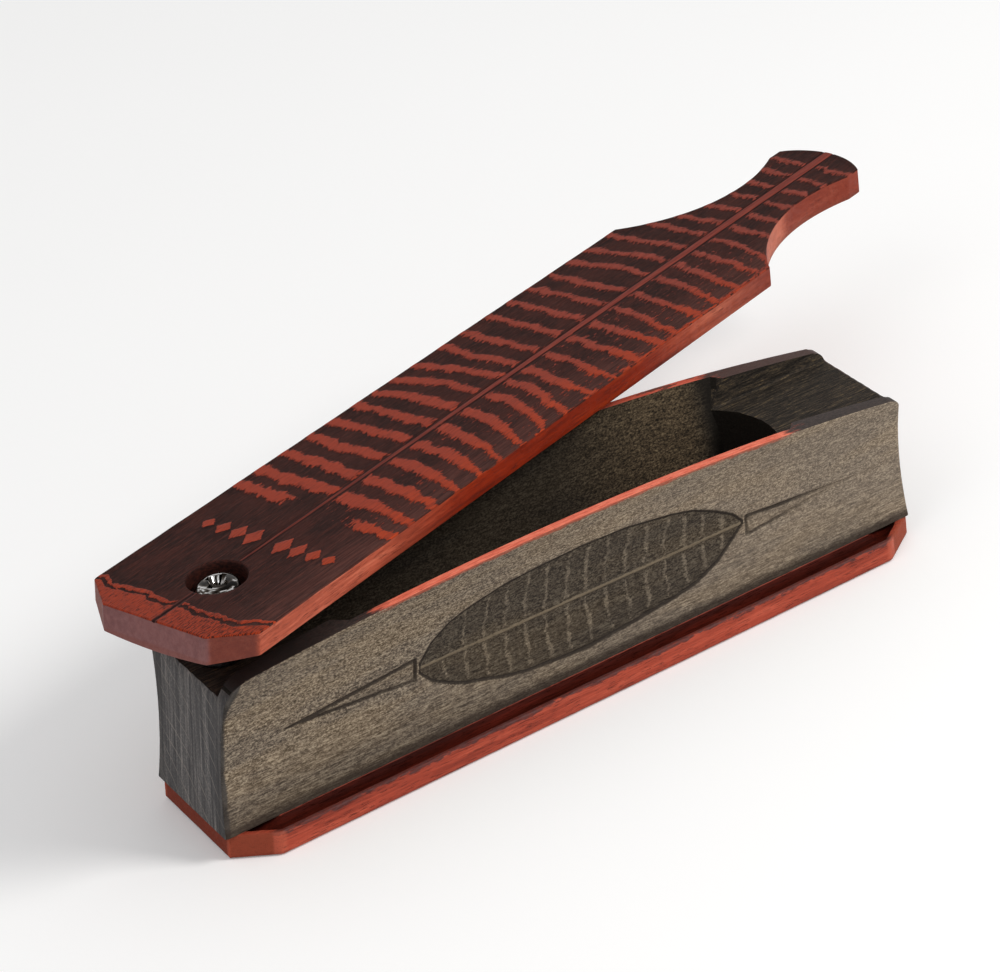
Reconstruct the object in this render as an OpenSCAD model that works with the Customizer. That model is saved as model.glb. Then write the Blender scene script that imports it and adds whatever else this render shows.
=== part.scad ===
// Box turkey call: a hollow wooden sound box on a thin base board, with a long
// paddle lid that swings on one spring-loaded screw at the front and scrapes
// over the two arched lips of the box.
// X runs along the box from the pivot end (-X, the front) to the handle end (+X),
// Z is up, and the origin is the middle of the base board's underside.
// The lid is drawn swung toward +Y, as it is held in use.

/* [Sound box] */
// Length of the sound box at its top, end to end (mm)
body_l = 184; // [150:1:215]
// Width of the sound box at its narrowest level, the waist (mm)
waist_w = 30.4; // [28:0.2:36]
// Height of the waist above the resting face (mm)
waist_z = 15.4; // [13:0.2:18]
// Radius of the long hollow worked into each side (mm)
side_r = 46; // [42:0.5:60]
// Height of the lips at the top of their arch (mm)
lip_z = 39; // [38:0.5:42]
// Radius of the arch of the lips, seen from the side (mm)
arch_r = 730; // [650:10:900]
// Top of the arch, ahead of mid-length toward the pivot end (mm)
arch_x = 14.9; // [0:0.1:20]
// Wall thickness of the side walls along the chamber (mm)
wall_t = 2.4; // [2:0.1:3.2]
// Radius of the lip corners at the pivot end (mm)
front_corner_r = 5; // [2:0.5:6]
// Radius of the lip corners at the handle end (mm)
rear_corner_r = 2.8; // [1:0.2:4]
// How far the front face leans out at its foot (mm)
front_rake = 1.3; // [0:0.1:2]
// How far the rear face leans out at its foot (mm)
rear_rake = 0.7; // [0:0.1:2]

/* [Chamber and ledges] */
// Radius of the round chamber ends (mm)
pocket_r = 20.7; // [18:0.1:24]
// Half length of the chamber along its middle (mm)
pocket_half_l = 64.5; // [55:0.5:66]
// Height of the ledge that carries the pivot (mm)
front_ledge_z = 32; // [30:0.1:33]
// Height of the ledge at the handle end (mm)
rear_ledge_z = 29; // [27:0.1:30]
// Width of the two ledges between the wall ends (mm)
ledge_w = 29.6; // [26:0.2:30]

/* [Base board] */
// Length of the base board (mm)
base_l = 184.4; // [180:0.2:220]
// Width of the base board (mm)
base_w = 44.8; // [44:0.2:54]
// Thickness of the base board (mm)
base_t = 4.5; // [4:0.1:7]
// Length of the cut-off corners along the board (mm)
base_corner_l = 9.5; // [3:0.5:12]
// Width of the cut-off corners across the board (mm)
base_corner_w = 7; // [3:0.5:9]
// Radius of the cove that runs beside the sound box (mm)
cove_r = 2.85; // [2.5:0.05:3.2]

/* [Lid] */
// Width of the lid (mm)
lid_w = 49.6; // [48:0.2:56]
// Thickness of the lid along its middle (mm)
lid_mid_t = 6.3; // [6:0.1:8]
// Thickness of the lid at its edges (mm)
lid_edge_t = 4.6; // [4:0.1:5.5]
// Reach of the lid ahead of the pivot (mm)
lid_nose = 20.5; // [18:0.5:24]
// Distance from the pivot to the end of the handle (mm)
handle_end = 242; // [230:0.5:250]
// Distance from the pivot to the narrowest part of the handle (mm)
neck_x = 215; // [208:0.5:220]
// Width of the handle at its narrowest part (mm)
neck_w = 19.4; // [18:0.2:24]
// Width of the handle at its flared end (mm)
handle_w = 25.6; // [25.2:0.2:28]
// Radius of the hollow on each side of the handle (mm)
neck_r = 49.5; // [46:0.5:52]
// Radius of the rounded handle end (mm)
handle_r = 19; // [16:0.5:24]
// Cut-off corners of the nose, along the lid (mm)
nose_cut_l = 7.1; // [4:0.1:9]
// Cut-off corners of the nose, across the lid (mm)
nose_cut_w = 9.5; // [6:0.1:12]

/* [Pivot] */
// Distance of the pivot from the front end of the sound box (mm)
pivot_in = 8.6; // [7.5:0.1:12]
// Height of the lid's top face at the pivot (mm)
lid_top_z = 47.9; // [47.9:0.1:49]
// Swing of the lid away from the middle, as drawn (deg)
swing_deg = 20.1; // [0:0.1:40]
// Slope of the lid down toward the handle, as drawn (deg)
slope_deg = 1.65; // [0:0.05:1.65]
// Diameter of the counterbore in the lid (mm)
cbore_d = 14; // [12:0.5:15]
// Depth of the counterbore in the lid (mm)
cbore_depth = 4.1; // [3.5:0.1:4.2]
// Diameter of the screw hole through the lid (mm)
lid_hole_d = 6.4; // [6:0.1:7]
// Diameter of the screw shank (mm)
shank_d = 4.8; // [4.5:0.1:4.8]
// Diameter of the screw head (mm)
head_d = 10.6; // [8.5:0.1:11]
// Height of the screw head (mm)
head_h = 2.6; // [2.2:0.1:2.6]
// Length of the screw under its head (mm)
screw_l = 31.8; // [28:0.2:34]

/* [Spring and washers] */
// Outer diameter of the coil spring (mm)
spring_od = 9.6; // [8.5:0.1:10.5]
// Wire diameter of the coil spring (mm)
wire_d = 1.1; // [0.8:0.05:1.2]
// Turns of the coil spring
spring_turns = 4.5; // [3:0.5:5.5]
// Outer diameter of the two spring washers (mm)
washer_od = 11.2; // [10.6:0.1:12]
// Thickness of the two spring washers (mm)
washer_t = 0.8; // [0.5:0.1:1]
// Outer diameter of the small washer under the screw head (mm)
head_washer_od = 11.2; // [9.5:0.1:11.6]

/* [Hidden] */
$fn = 96;
hollow_fn = 180;      // facets of the side and handle hollows
arc_fn = 720;         // facets of the lip arch and the lid crown
eps = 0.01;           // overlap that joins stacked shapes
over = 1;             // how far a cutter passes the face it cuts

box_color = [0.42, 0.38, 0.31];
base_color = [0.63, 0.25, 0.18];
lid_color = [0.31, 0.16, 0.13];
screw_color = [0.75, 0.76, 0.78];
head_washer_color = [0.30, 0.30, 0.31];
washer_color = [0.55, 0.55, 0.56];
spring_color = [0.70, 0.71, 0.73];

// Sound box
half_l = body_l / 2;
block_w = 60;                                 // wider than any part
block_top_z = 46;                             // above the lips
side_axis_y = waist_w / 2 + side_r;           // axis of the outer side hollow
arch_axis_z = lip_z - arch_r;
pocket_x = pocket_half_l - pocket_r;          // axis of a round chamber end
foot_w = 2 * (side_axis_y - sqrt(pow(side_r, 2) - pow(waist_z - base_t, 2)));

// Base board: each cove meets the board's top at the foot of the box
cove_in = 2.45;                               // foot of the box to the cove axis
cove_y = foot_w / 2 + cove_in;
cove_z = base_t + sqrt(pow(cove_r, 2) - pow(cove_in, 2));
cove_end_gap = 0.4;
rim_w = base_w / 2 - cove_y;                  // cove axis to the board's edge
cut_angle = atan2(base_corner_w, base_corner_l);
cove_l = base_l - 2 * (base_corner_l + rim_w * tan(cut_angle / 2) + cove_end_gap);

// Lid
crown_rise = lid_mid_t - lid_edge_t;
crown_r = (pow(lid_w / 2, 2) + pow(crown_rise, 2)) / (2 * crown_rise);
handle_root_x = neck_x - 15;                  // full width of the blank ends here
flat_depth = 0.1;                             // washer flat in the lid's underside

// Pivot stack
pivot_x = -half_l + pivot_in;
tilt_gap = 0.2;                               // room at a washer for the sloping lid
head_washer_t = 0.5;
head_washer_z = lid_top_z - cbore_depth + tilt_gap;
head_z = head_washer_z + head_washer_t + 0.02;          // underside of the head
spring_z = front_ledge_z + washer_t;
spring_h = lid_top_z - lid_mid_t - washer_t - tilt_gap - spring_z;

// Height of the lip arch at a place along the box
function lip_height(x) = arch_axis_z + sqrt(pow(arch_r, 2) - pow(x + arch_x, 2));

// Closed outline from its -Y half, mirrored about the X axis
function mirrored(half) =
    concat(half, [for (i = [len(half) - 1 : -1 : 0]) [half[i][0], -half[i][1]]]);

// ---- sound box ----------------------------------------------------------

// Long block whose sides are hollowed along their length. inset moves the side
// hollows inward, so the same shape gives the outside and the chamber.
module hollow_sided(inset, length, bottom_z) {
    difference() {
        translate([-length / 2, -block_w / 2, bottom_z])
            cube([length, block_w, block_top_z - bottom_z]);
        for (side = [-1, 1])
            translate([0, side * (side_axis_y - inset), waist_z]) rotate([0, 90, 0])
                cylinder(r = side_r, h = length + 4, center = true, $fn = hollow_fn);
    }
}

// Side view of the box: raked ends, reaching above the lips
module side_slab() {
    rake_top_z = 44;
    rotate([90, 0, 0]) translate([0, 0, -block_w / 2]) linear_extrude(block_w)
        polygon([[-half_l - front_rake, base_t], [half_l + rear_rake, base_t],
                 [half_l, rake_top_z], [-half_l, rake_top_z]]);
}

// Square corner outside a rounding of radius r; end is -1 at the front
module lip_corner(end, r, top_z) {
    reach = 3;
    difference() {
        translate([end > 0 ? half_l - r : -half_l - reach, -block_w / 2, top_z - r])
            cube([r + reach, block_w, r + 6]);
        translate([end * (half_l - r), 0, top_z - r]) rotate([90, 0, 0])
            cylinder(r = r, h = block_w + 2 * over, center = true);
    }
}

// Round-ended chamber, flared at its ends above the rear ledge's height
module chamber() {
    flare = 7;
    flare_h = 14;
    cut_z = base_t - 2;
    intersection() {
        hollow_sided(wall_t, body_l, base_t - over);
        union() {
            translate([-pocket_x, -block_w / 2, cut_z]) cube([2 * pocket_x, block_w, 50]);
            for (end = [-1, 1]) translate([end * pocket_x, 0, 0]) {
                translate([0, 0, cut_z]) cylinder(r = pocket_r, h = rear_ledge_z - cut_z);
                translate([0, 0, rear_ledge_z - eps])
                    cylinder(r1 = pocket_r, r2 = pocket_r + flare, h = flare_h);
            }
        }
    }
}

// Opens the space above both ledges, between the wall ends
module ledge_cuts() {
    inward = 40;
    outward = 5;
    for (ledge = [[-half_l - outward, front_ledge_z], [half_l - inward, rear_ledge_z]])
        translate([ledge[0], -ledge_w / 2, ledge[1]])
            cube([inward + outward, ledge_w, 20]);
}

module sound_box() {
    front_lift = 0.25;      // corner roundings start this far above the arch
    rear_lift = 0.15;
    color(box_color) difference() {
        intersection() {
            hollow_sided(0, body_l + 12, base_t);
            side_slab();
            translate([-arch_x, 0, arch_axis_z]) rotate([90, 0, 0])
                cylinder(r = arch_r, h = 64, center = true, $fn = arc_fn);
        }
        lip_corner(-1, front_corner_r, lip_height(-half_l) + front_lift);
        lip_corner(1, rear_corner_r, lip_height(half_l) + rear_lift);
        chamber();
        ledge_cuts();
        // pilot hole that holds the screw
        translate([pivot_x, 0, head_z - screw_l - over]) cylinder(d = shank_d + 0.1, h = 40);
    }
}

// ---- base board ---------------------------------------------------------

module base_plan() {
    end_x = base_l / 2;
    edge_y = base_w / 2;
    polygon(mirrored([[-end_x, -edge_y + base_corner_w], [-end_x + base_corner_l, -edge_y],
                      [end_x - base_corner_l, -edge_y], [end_x, -edge_y + base_corner_w]]));
}

// Cove beside the box, with round run-outs
module side_cove() {
    rotate([0, 90, 0]) cylinder(r = cove_r, h = cove_l, center = true);
    for (end = [-1, 1]) translate([end * cove_l / 2, 0, 0]) sphere(r = cove_r);
}

module base_board() {
    color(base_color) difference() {
        linear_extrude(base_t) base_plan();
        for (side = [-1, 1]) translate([0, side * cove_y, cove_z]) side_cove();
    }
}

// ---- lid ----------------------------------------------------------------

// Puts a shape drawn about the pivot, with z = 0 on the lid's top face, in place
module on_lid() {
    translate([pivot_x, 0, lid_top_z]) rotate([0, 0, swing_deg]) rotate([0, slope_deg, 0])
        children();
}

module lid_blank() {
    edge_y = lid_w / 2;
    translate([0, 0, -lid_mid_t]) linear_extrude(lid_mid_t)
        polygon(mirrored([[-lid_nose, -edge_y + nose_cut_w], [-lid_nose + nose_cut_l, -edge_y],
                          [handle_root_x, -edge_y], [handle_root_x, -handle_w / 2],
                          [handle_end, -handle_w / 2]]));
}

module lid_shape() {
    crown_mid_x = 110;      // middle of the crown cylinder, which spans the lid
    crown_l = 300;
    cut_h = 20;             // height of the cutters that pass through the lid
    round_x = handle_end - handle_r;
    difference() {
        intersection() {
            lid_blank();
            // crowned underside
            translate([crown_mid_x, 0, -lid_mid_t + crown_r]) rotate([0, 90, 0])
                cylinder(r = crown_r, h = crown_l, center = true, $fn = arc_fn);
        }
        // hollows that leave the handle between them
        for (side = [-1, 1]) translate([neck_x, side * (neck_w / 2 + neck_r), -cut_h / 2])
            cylinder(r = neck_r, h = cut_h, $fn = hollow_fn);
        // rounded handle end
        difference() {
            translate([round_x, -block_w / 2, -cut_h / 2]) cube([handle_r + 5, block_w, cut_h]);
            translate([round_x, 0, -cut_h / 2 - over]) cylinder(r = handle_r, h = cut_h + 2 * over);
        }
        translate([0, 0, -cbore_depth]) cylinder(d = cbore_d, h = 10);
        translate([0, 0, -cut_h / 2]) cylinder(d = lid_hole_d, h = cut_h);
        // flat for the washer on the crowned underside
        translate([0, 0, -lid_mid_t - over]) cylinder(d = washer_od + 1.2, h = over + flat_depth);
    }
}

module lid() {
    color(lid_color) on_lid() lid_shape();
}

// ---- washers ------------------------------------------------------------

module flat_washer(outer_d, hole_d, thickness) {
    difference() {
        cylinder(d = outer_d, h = thickness);
        translate([0, 0, -over]) cylinder(d = hole_d, h = thickness + 2 * over);
    }
}

module lid_washer() {
    color(washer_color) on_lid() translate([0, 0, -lid_mid_t + flat_depth - washer_t])
        flat_washer(washer_od, lid_hole_d - 0.4, washer_t);
}

module head_washer() {
    color(head_washer_color) translate([pivot_x, 0, head_washer_z])
        flat_washer(head_washer_od, shank_d + 0.12, head_washer_t);
}

module seat_washer() {
    color(washer_color) translate([pivot_x, 0, front_ledge_z])
        flat_washer(washer_od, shank_d + 0.4, washer_t);
}

// ---- pivot screw --------------------------------------------------------

thread_l = 20;

// Pan head: short straight rim under a low dome
module screw_head() {
    head_r = head_d / 2;
    rotate_extrude()
        polygon([[0, 0], [head_r, 0], [head_r, head_h * 0.42],
                 [head_r - 0.35, head_h * 0.68], [head_r - 1.05, head_h * 0.87],
                 [head_r - 2.1, head_h * 0.97], [head_r - 3.4, head_h], [0, head_h]]);
}

// Ringed thread from the tip up, narrowing over its first turns
module screw_thread() {
    root_r = shank_d / 2 - 0.55;
    turns = 14;
    pitch = 1.35;
    taper = 0.9;            // growth in radius per turn at the tip
    rotate_extrude()
        polygon(concat([[0, 0]],
            [for (i = [0 : turns - 1]) each
                [[min(root_r, 0.3 + i * taper), i * pitch + 0.15],
                 [min(shank_d / 2, 0.9 + i * taper), i * pitch + pitch * 0.5],
                 [min(root_r, 0.6 + i * taper), i * pitch + pitch * 0.85]]],
            [[root_r, thread_l + eps], [0, thread_l + eps]]));
}

module cross_recess() {
    slot_l = 5.8;
    slot_w = 1.4;
    slot_depth = 1.5;
    centre_d = 2.6;
    centre_depth = 2;
    turn_deg = 28;
    cut_h = 3;
    for (angle = [0, 90]) rotate([0, 0, angle + turn_deg])
        translate([-slot_l / 2, -slot_w / 2, head_h - slot_depth]) cube([slot_l, slot_w, cut_h]);
    translate([0, 0, head_h - centre_depth]) cylinder(d = centre_d, h = cut_h);
}

module pivot_screw() {
    color(screw_color) translate([pivot_x, 0, head_z]) difference() {
        union() {
            screw_head();
            translate([0, 0, -screw_l + thread_l])
                cylinder(d = shank_d, h = screw_l - thread_l + eps);
            translate([0, 0, -screw_l]) screw_thread();
        }
        cross_recess();
    }
}

// ---- pivot spring -------------------------------------------------------

// Height of the coil's centre line after a number of turns: closed end turns,
// open turns between them
function coil_z(turn) =
    let (low = wire_d / 2 + 0.02, high = spring_h - low,
         closed = 0.75,               // turns closed at each end
         rise = wire_d * 0.9)         // climb over a closed end
    turn < closed ? low + rise * turn / closed :
    turn > spring_turns - closed ? high - rise * (spring_turns - turn) / closed :
    low + rise + (high - low - 2 * rise) * (turn - closed) / (spring_turns - 2 * closed);

module pivot_spring() {
    steps = ceil(spring_turns * 26);
    sides = 10;             // points around the wire
    coil_r = (spring_od - wire_d) / 2;
    wire_r = wire_d / 2;
    points = [for (i = [0 : steps]) for (j = [0 : sides - 1])
        let (turn = spring_turns * i / steps, around = 360 * j / sides,
             r = coil_r + wire_r * cos(around))
        [r * cos(360 * turn), r * sin(360 * turn), coil_z(turn) + wire_r * sin(around)]];
    walls = [for (i = [0 : steps - 1]) for (j = [0 : sides - 1])
        let (next = (j + 1) % sides)
        [i * sides + j, i * sides + next, (i + 1) * sides + next, (i + 1) * sides + j]];
    caps = [[for (j = [sides - 1 : -1 : 0]) j], [for (j = [0 : sides - 1]) steps * sides + j]];
    color(spring_color) translate([pivot_x, 0, spring_z])
        polyhedron(points = points, faces = concat(walls, caps), convexity = 8);
}

sound_box();
base_board();
lid();
pivot_screw();
head_washer();
lid_washer();
pivot_spring();
seat_washer();
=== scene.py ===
import math

import bmesh
import bpy
import numpy as np
from mathutils import Matrix, Vector


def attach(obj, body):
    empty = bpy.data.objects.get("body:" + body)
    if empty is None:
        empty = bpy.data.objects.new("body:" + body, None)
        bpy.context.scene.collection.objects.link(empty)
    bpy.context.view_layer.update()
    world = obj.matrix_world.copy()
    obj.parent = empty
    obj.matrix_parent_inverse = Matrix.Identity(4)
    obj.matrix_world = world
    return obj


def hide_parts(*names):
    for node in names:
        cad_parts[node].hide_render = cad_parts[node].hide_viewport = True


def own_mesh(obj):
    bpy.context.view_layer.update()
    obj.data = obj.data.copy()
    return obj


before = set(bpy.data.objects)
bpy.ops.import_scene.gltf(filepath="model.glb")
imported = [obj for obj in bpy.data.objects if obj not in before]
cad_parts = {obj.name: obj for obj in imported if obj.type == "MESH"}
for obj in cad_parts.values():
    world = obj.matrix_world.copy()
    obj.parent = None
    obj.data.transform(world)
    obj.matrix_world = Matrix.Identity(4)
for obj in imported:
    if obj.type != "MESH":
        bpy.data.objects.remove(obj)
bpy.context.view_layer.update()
MM = 0.001

# ---------------------------------------------------------------- dimensions
PX, TOP_Z = -83.4, 47.9                     # pivot axis, lid top at the pivot
LID = (Matrix.Translation((PX * MM, 0, TOP_Z * MM))
       @ Matrix.Rotation(math.radians(20.1), 4, "Z")
       @ Matrix.Rotation(math.radians(1.65), 4, "Y"))
LID_W, NOSE, HANDLE = 24.8, -20.5, 242.0
CROWN_R = 181.75
WAIST_Z, SIDE_R, SIDE_CY = 15.4, 46.0, 61.2
ARCH_R, ARCH_X, LIP_Z = 730.0, -14.9, 39.0
HALF = 92.0
BASE_T = 4.5


def srgb(r, g, b, a=1.0):
    """sRGB 0-255 to linear RGBA."""
    def f(c):
        c = c / 255.0
        return c / 12.92 if c <= 0.04045 else ((c + 0.055) / 1.055) ** 2.4
    return (f(r), f(g), f(b), a)


# ------------------------------------------------------------ seeded noise
def _hash(ix, iy, seed):
    h = (ix.astype(np.int64) * 374761393 + iy.astype(np.int64) * 668265263 + seed * 974711) & 0xFFFFFFFF
    h = ((h ^ (h >> 13)) * 1274126177) & 0xFFFFFFFF
    h = (h ^ (h >> 16)) & 0xFFFFFFFF
    return h / 2147483647.5 - 1.0


def vnoise(x, y, seed=0):
    """Smooth value noise between -1 and 1."""
    x, y = np.broadcast_arrays(np.asarray(x, float), np.asarray(y, float))
    ix, iy = np.floor(x), np.floor(y)
    fx, fy = x - ix, y - iy
    fx, fy = fx * fx * (3 - 2 * fx), fy * fy * (3 - 2 * fy)
    a, b = _hash(ix, iy, seed), _hash(ix + 1, iy, seed)
    c, d = _hash(ix, iy + 1, seed), _hash(ix + 1, iy + 1, seed)
    return (a * (1 - fx) + b * fx) * (1 - fy) + (c * (1 - fx) + d * fx) * fy


def sstep(lo, hi, x):
    t = np.clip((x - lo) / (hi - lo), 0, 1)
    return t * t * (3 - 2 * t)


# ------------------------------------------------------------- mesh helpers
def make(name, verts, polys, matrix=None, attrs=None, angle=32, recalc=True):
    """Mesh object from millimetre points, optionally placed by a matrix."""
    v = np.asarray(verts, float) * MM
    if matrix is not None:
        m = np.array(matrix)
        v = v @ m[:3, :3].T + m[:3, 3]
    me = bpy.data.meshes.new(name)
    me.from_pydata(v.tolist(), [], polys)
    for key, val in (attrs or {}).items():
        val = np.asarray(val, np.float32)
        if val.ndim == 2:
            a = me.attributes.new(key, "FLOAT_VECTOR", "POINT")
            a.data.foreach_set("vector", val.ravel())
        else:
            a = me.attributes.new(key, "FLOAT", "POINT")
            a.data.foreach_set("value", val)
    if recalc:
        bm = bmesh.new()
        bm.from_mesh(me)
        bmesh.ops.recalc_face_normals(bm, faces=bm.faces)
        bm.to_mesh(me)
        bm.free()
    me.update()
    me.validate()
    o = bpy.data.objects.new(name, me)
    bpy.context.scene.collection.objects.link(o)
    shade(o, angle)
    return o


def shade(o, angle):
    me = o.data
    me.polygons.foreach_set("use_smooth", np.ones(len(me.polygons), bool))
    me.set_sharp_from_angle(angle=math.radians(angle))
    me.update()


def cut(target, cutters, solver="MANIFOLD"):
    """Booleans applied one by one; the cutters are removed afterwards."""
    for c in cutters:
        m = target.modifiers.new("cut", "BOOLEAN")
        m.operation, m.object, m.solver = "DIFFERENCE", c, solver
        dg = bpy.context.evaluated_depsgraph_get()
        me = bpy.data.meshes.new_from_object(target.evaluated_get(dg))
        target.modifiers.clear()
        me.materials.clear()
        old, target.data = target.data, me
        bpy.data.meshes.remove(old)
    for c in cutters:
        bpy.data.objects.remove(c)


def tidy(o, slivers=False):
    """Drop loose points, and on request the zero-size slivers left by the cuts."""
    bm = bmesh.new()
    bm.from_mesh(o.data)
    bmesh.ops.delete(bm, geom=[v for v in bm.verts if not v.link_faces], context="VERTS")
    if slivers:
        bmesh.ops.dissolve_degenerate(bm, dist=1e-6, edges=bm.edges[:])
    bm.to_mesh(o.data)
    bm.free()


def lathe(profile, n=72, z0=0.0, closed=True):
    """Points and faces of a profile [(r, z)] turned round Z; closed joins the last ring to the first."""
    prof = np.array(profile, float)
    a = np.arange(n) * 2 * np.pi / n
    v, f = [], []
    for r, z in prof:
        v += [(r * math.cos(t), r * math.sin(t), z + z0) for t in a]
    k = len(prof)
    for i in range(k if closed else k - 1):
        p, q = i * n, ((i + 1) % k) * n
        for j in range(n):
            jj = (j + 1) % n
            f.append((p + j, p + jj, q + jj, q + j))
    if not closed:
        f.append(tuple(range(n))[::-1])
        f.append(tuple((k - 1) * n + j for j in range(n)))
    return v, f


# ------------------------------------------------------- lid: pattern field
# Light bars of the feather pattern: distance along the lid at the quill, half
# way out and at the edge, for the left (+) and right (-) vane.
BARS_L = [(41, 41, 41), (48.7, 50, 50), (59.3, 58.5, 58.7), (68.3, 67.5, 66.7),
          (76.7, 76.3, 75.5), (85.7, 85.2, 82.6), (93.8, 93.8, 89), (103, 101, 97.6),
          (110, 108.5, 108.5), (117.3, 116.9, 116.4), (126.5, 126.5, 126),
          (135.3, 135.3, 134.8), (144, 144, 142), (153.2, 151.5, 151.2),
          (162.4, 162, 158.7), (170.4, 170, 166.6), (179.4, 177.5, 175.8),
          (187.5, 186.7, 186.7), (195.3, 193.8, 193.4), (203, 202.2, 201.8),
          (211, 210.4, 210), (218, 218, 217.8), (226.4, 226, 225.6), (233.5, 233, 232.7)]
BARS_R = [(40.3, 40.3, 38.2), (49.1, 49.1, 46.6), (59, 57.9, 54.5), (67.5, 66.7, 62.5),
          (76.3, 75, 70.8), (85, 84.2, 78.4), (93.8, 93, 86.7), (102, 100, 95),
          (109.3, 107.2, 106), (116.8, 116.4, 114.3), (126, 125.6, 124.8),
          (135, 134.8, 133.6), (144, 142.8, 139), (152.4, 151.5, 150.2),
          (162.2, 161, 157.4), (170.4, 168.7, 166.6), (178.3, 177.5, 175.8),
          (186.7, 185.9, 183), (195, 194, 193.4), (202.6, 202.2, 201.8),
          (210, 210, 210), (217.7, 217.7, 217.7), (225.6, 225, 224.3), (233.5, 233, 232.7)]


def lid_half(x):
    """Half width of the lid at x."""
    x = np.asarray(x, float)
    w = np.full_like(x, LID_W)
    nose = x < NOSE + 7.1
    w = np.where(nose, 15.3 + (x - NOSE) * 9.5 / 7.1, w)
    h = x > 179.5
    arc = 59.2 - np.sqrt(np.maximum(49.5 ** 2 - (x - 215) ** 2, 0))
    w = np.where(h, np.minimum(LID_W, arc), w)
    w = np.where(x > 200, np.minimum(w, 12.8), w)
    w = np.where(x > 235, np.minimum(12.8, np.sqrt(np.maximum(19.0 ** 2 - (x - 223) ** 2, 0))), w)
    return w


def quill_half(x):
    """Half width of the raised quill line along the middle of the lid."""
    return np.interp(x, [7.5, 12, 40, 111, 190, 242], [0.18, 0.26, 0.42, 0.72, 1.0, 1.25])


def lid_field(x, y):
    """Signed distance in mm to the light areas: positive inside a bar, negative on burnt ground."""
    w = lid_half(x)
    best = np.full(x.shape, -3.0)
    t = np.clip(np.abs(y) / np.maximum(w, 0.5), 0, 1)
    for side, rows in ((1, BARS_L), (-1, BARS_R)):
        on = y > 0 if side > 0 else y <= 0
        for k, (a, b, c) in enumerate(rows):
            near = on & (np.abs(x - (a + c) / 2) < 9)
            if not near.any():
                continue
            xx, yy, tt = x[near], y[near], t[near]
            # quadratic through the three given points
            xc = a * (1 - tt) * (1 - 2 * tt) + b * 4 * tt * (1 - tt) + c * tt * (2 * tt - 1)
            s = 50 * (k + 1) + (7 if side > 0 else 0)
            xc = xc + 0.55 * vnoise(yy / 3.6, s, 11) + 0.3 * vnoise(yy / 1.5, s, 12)
            hw = np.interp(a, [38, 60, 115, 180, 236], [2.2, 1.8, 1.45, 1.2, 1.05])
            hw = hw * (1 + 0.26 * vnoise(yy / 3.0, s, 13) + 0.14 * vnoise(yy / 1.1, s, 14))
            if side < 0:
                hw = hw * (1 - 0.25 * sstep(0.62, 0.9, tt) * (a < 118))
            hw = hw * (1 - 0.22 * sstep(0.9, 1.0, tt))
            d = hw - np.abs(xx - xc)
            best[near] = np.maximum(best[near], d)
        # the first, partial bar stands only on the outer part of each vane
        near = on & (np.abs(x - 33) < 8)
        xx, yy, tt = x[near], y[near], t[near]
        xc = (33.6 if side > 0 else 33.4 - 1.6 * tt) + 0.5 * vnoise(yy / 2.5, 3, 21)
        d = (1.9 + 0.9 * vnoise(yy / 0.9, 5, 22)) - np.abs(xx - xc)
        reach = 0.36 if side > 0 else 0.5
        d = np.minimum(d, (tt - reach) * 14 + 1.2 * vnoise(xx / 1.2, yy / 0.8, 23))
        best[near] = np.maximum(best[near], d)
    # bars stop just short of the quill
    q = quill_half(x)
    best = np.minimum(best, np.abs(y) - q - 0.75 + 0.12 * vnoise(x / 0.8, 1, 24))
    # narrow raised quill
    quill = np.where(x > 7.6, q - np.abs(y), -3)
    # front band left light, behind it a thin wavy line
    wob = 0.8 * vnoise(y / 3.2, 2, 31) + 0.45 * vnoise(y / 1.1, 3, 32)
    side_cut = np.clip(np.abs(y) - 19.5, 0, None) * np.where(y < 0, 0.75, 0.15)
    edge = -14.2 + wob + side_cut
    band = np.minimum(edge - x, np.abs(y) - 0.55)
    line = 0.62 + 0.3 * vnoise(y / 1.3, 9, 33) - np.abs(x - (edge + 1.75 + 0.4 * vnoise(y / 2.1, 8, 34)))
    line = np.minimum(line, np.abs(y) - 0.9)
    best = np.maximum(best, np.maximum(band, line))
    # plain row of small diamonds behind the pivot, on both sides of the quill
    hatch = np.full(x.shape, -3.0)
    for side in (1, -1):
        for k in range(4):
            yc, hx, hy = side * (4.4 + 4.6 * k), 3.9 - 0.5 * k, 2.15 - 0.15 * k
            d = (1 - np.abs(x - 17) / hx - np.abs(y - yc) / hy) * hy * 0.8
            hatch = np.maximum(hatch, d)
    best = np.maximum(best, hatch)
    # ground worn through along the right edge of the rear half
    wear = -1.1 + 1.9 * sstep(1.9, 0.1, w - np.abs(y)) * sstep(60, 150, x) + 0.9 * vnoise(x / 1.4, y / 0.6, 35)
    best = np.where((y < 0) & (x > 25) & (x < 183), np.maximum(best, np.minimum(wear, 0.6)), best)
    return np.clip(best, -2.5, 2.5), np.clip(quill, -2.5, 2.5)


def plank_ring(nr, nc):
    """Grid indices round the border of an nr x nc grid."""
    ring = [(0, j) for j in range(nc)] + [(i, nc - 1) for i in range(1, nr)]
    ring += [(nr - 1, j) for j in range(nc - 2, -1, -1)] + [(i, 0) for i in range(nr - 2, 0, -1)]
    return ring


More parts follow.
